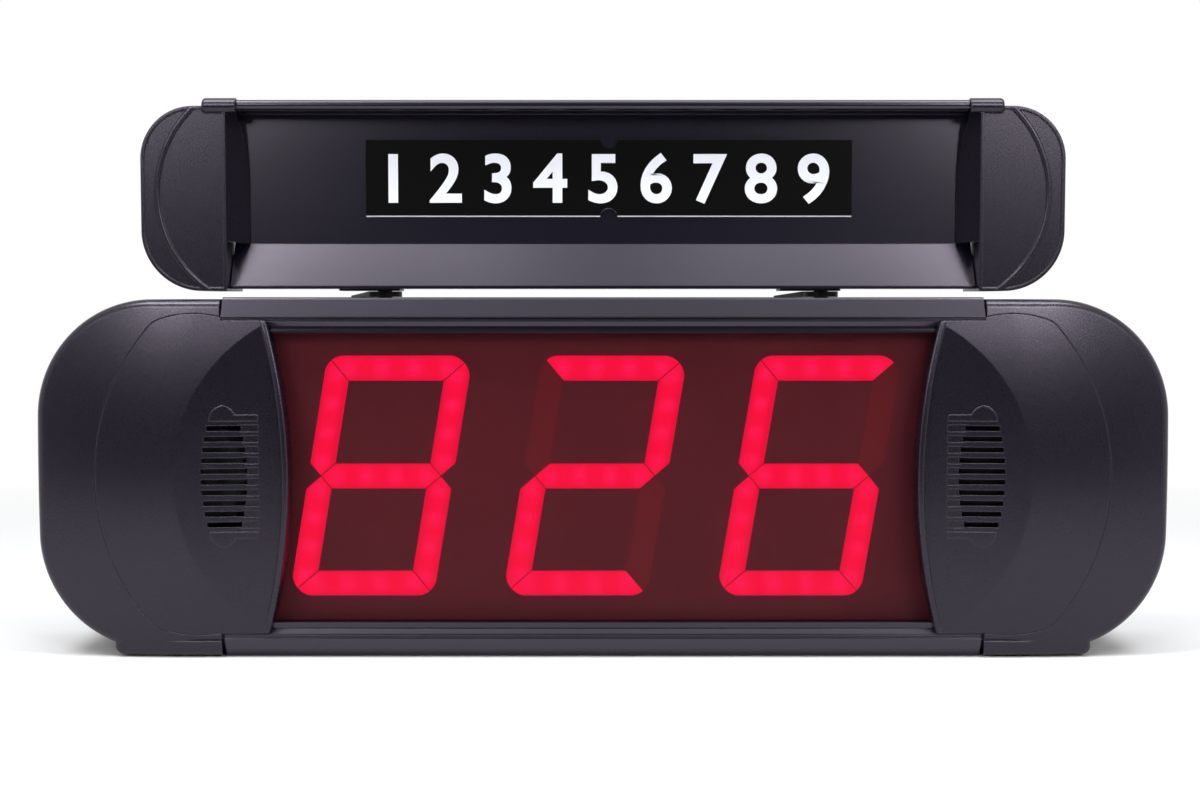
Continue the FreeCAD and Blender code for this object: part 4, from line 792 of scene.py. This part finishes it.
def add_floor():
    """A plain pale floor. Away from the object it fades into the white background, for rays from
    the camera and for rays that come off or through the object."""
    corners = [(x, y, 0.0) for y in (-FLOOR_FRONT, FLOOR_BACK) for x in (-FLOOR_SIDE, FLOOR_SIDE)]
    mesh = bpy.data.meshes.new("floor")
    mesh.from_pydata(corners, [], [(0, 1, 3, 2)])
    floor = bpy.data.objects.new("floor", mesh)
    floor.location.z = -FLOOR_DROP
    bpy.context.scene.collection.objects.link(floor)
    s = Shader("floor")
    card = s.add("ShaderNodeBsdfDiffuse", {"Color": (FLOOR_GREY, FLOOR_GREY, FLOOR_GREY, 1.0)})
    white = s.add("ShaderNodeEmission", {"Strength": 1.0})
    distance = s.add("ShaderNodeVectorMath", {0: s.place}, operation="LENGTH").outputs["Value"]
    seen = s.math("MAXIMUM", *kinds_of_ray(s))
    fade = s.math("MULTIPLY", s.span(distance, 0.0, 1.0, *FLOOR_FADE), seen)
    mesh.materials.append(s.finish(s.mixed(fade, card, white)))


def add_room():
    """A soft room: dim in front of the object, brighter above and behind it, where the white
    backdrop stands. The camera sees white all round, and reflections see the backdrop."""
    world = bpy.data.worlds.new("studio")
    bpy.context.scene.world = world
    world.use_nodes = True
    s = Shader("studio", world.node_tree, "ShaderNodeOutputWorld")
    toward = s.separated(s.direction())
    level = s.span(toward["Y"], ROOM_FRONT, ROOM_BACK, *ROOM_RISE)
    overhead = s.span(toward["Z"], 0.0, ROOM_TOP, *TOP_RISE)
    room = s.math("MAXIMUM", level, overhead)
    direct, off_or_through = kinds_of_ray(s)
    backdrop = s.math("MULTIPLY", off_or_through, s.span(toward["Y"], 0.0, 1.0, *BACKDROP_RISE))
    white = s.math("MAXIMUM", direct, backdrop)
    strength = s.math("ADD", s.math("MULTIPLY", room, s.math("SUBTRACT", 1.0, white)), white)
    s.finish(s.add("ShaderNodeBackground", {"Color": UNTINTED, "Strength": strength}))


def add_lamps():
    """The softboxes, each turned to the middle of the object."""
    for name, (azimuth, elevation, width, height, power, colour) in LAMPS.items():
        data = bpy.data.lights.new(name, "AREA")
        data.shape = "RECTANGLE"
        data.size = width
        data.size_y = height
        data.energy = power
        data.color = colour
        turn, rise = math.radians(azimuth), math.radians(elevation)
        away = Vector((math.sin(turn) * math.cos(rise), -math.cos(turn) * math.cos(rise), math.sin(rise)))
        lamp = bpy.data.objects.new(name, data)
        lamp.location = LAMP_TARGET + LAMP_DISTANCE * away
        lamp.rotation_euler = away.to_track_quat("Z", "Y").to_euler()
        bpy.context.scene.collection.objects.link(lamp)


# ---------------------------------------------------------------- the whole scene
finishes = make_finishes()
dress_cad_nodes(finishes)
for digit in ("left", "centre", "right"):
    lit_digit(digit, finishes["segment_lit"])
sign_numbers(finishes["white_vinyl"])
code_numbers(finishes["printed_white"])
volume_marks(finishes["printed_white"])
socket_contacts(finishes["contact_gold"])
window_masks(finishes["module_face"])

add_camera()
add_floor()
add_room()
add_lamps()
bpy.context.scene.view_settings.view_transform = "Standard"
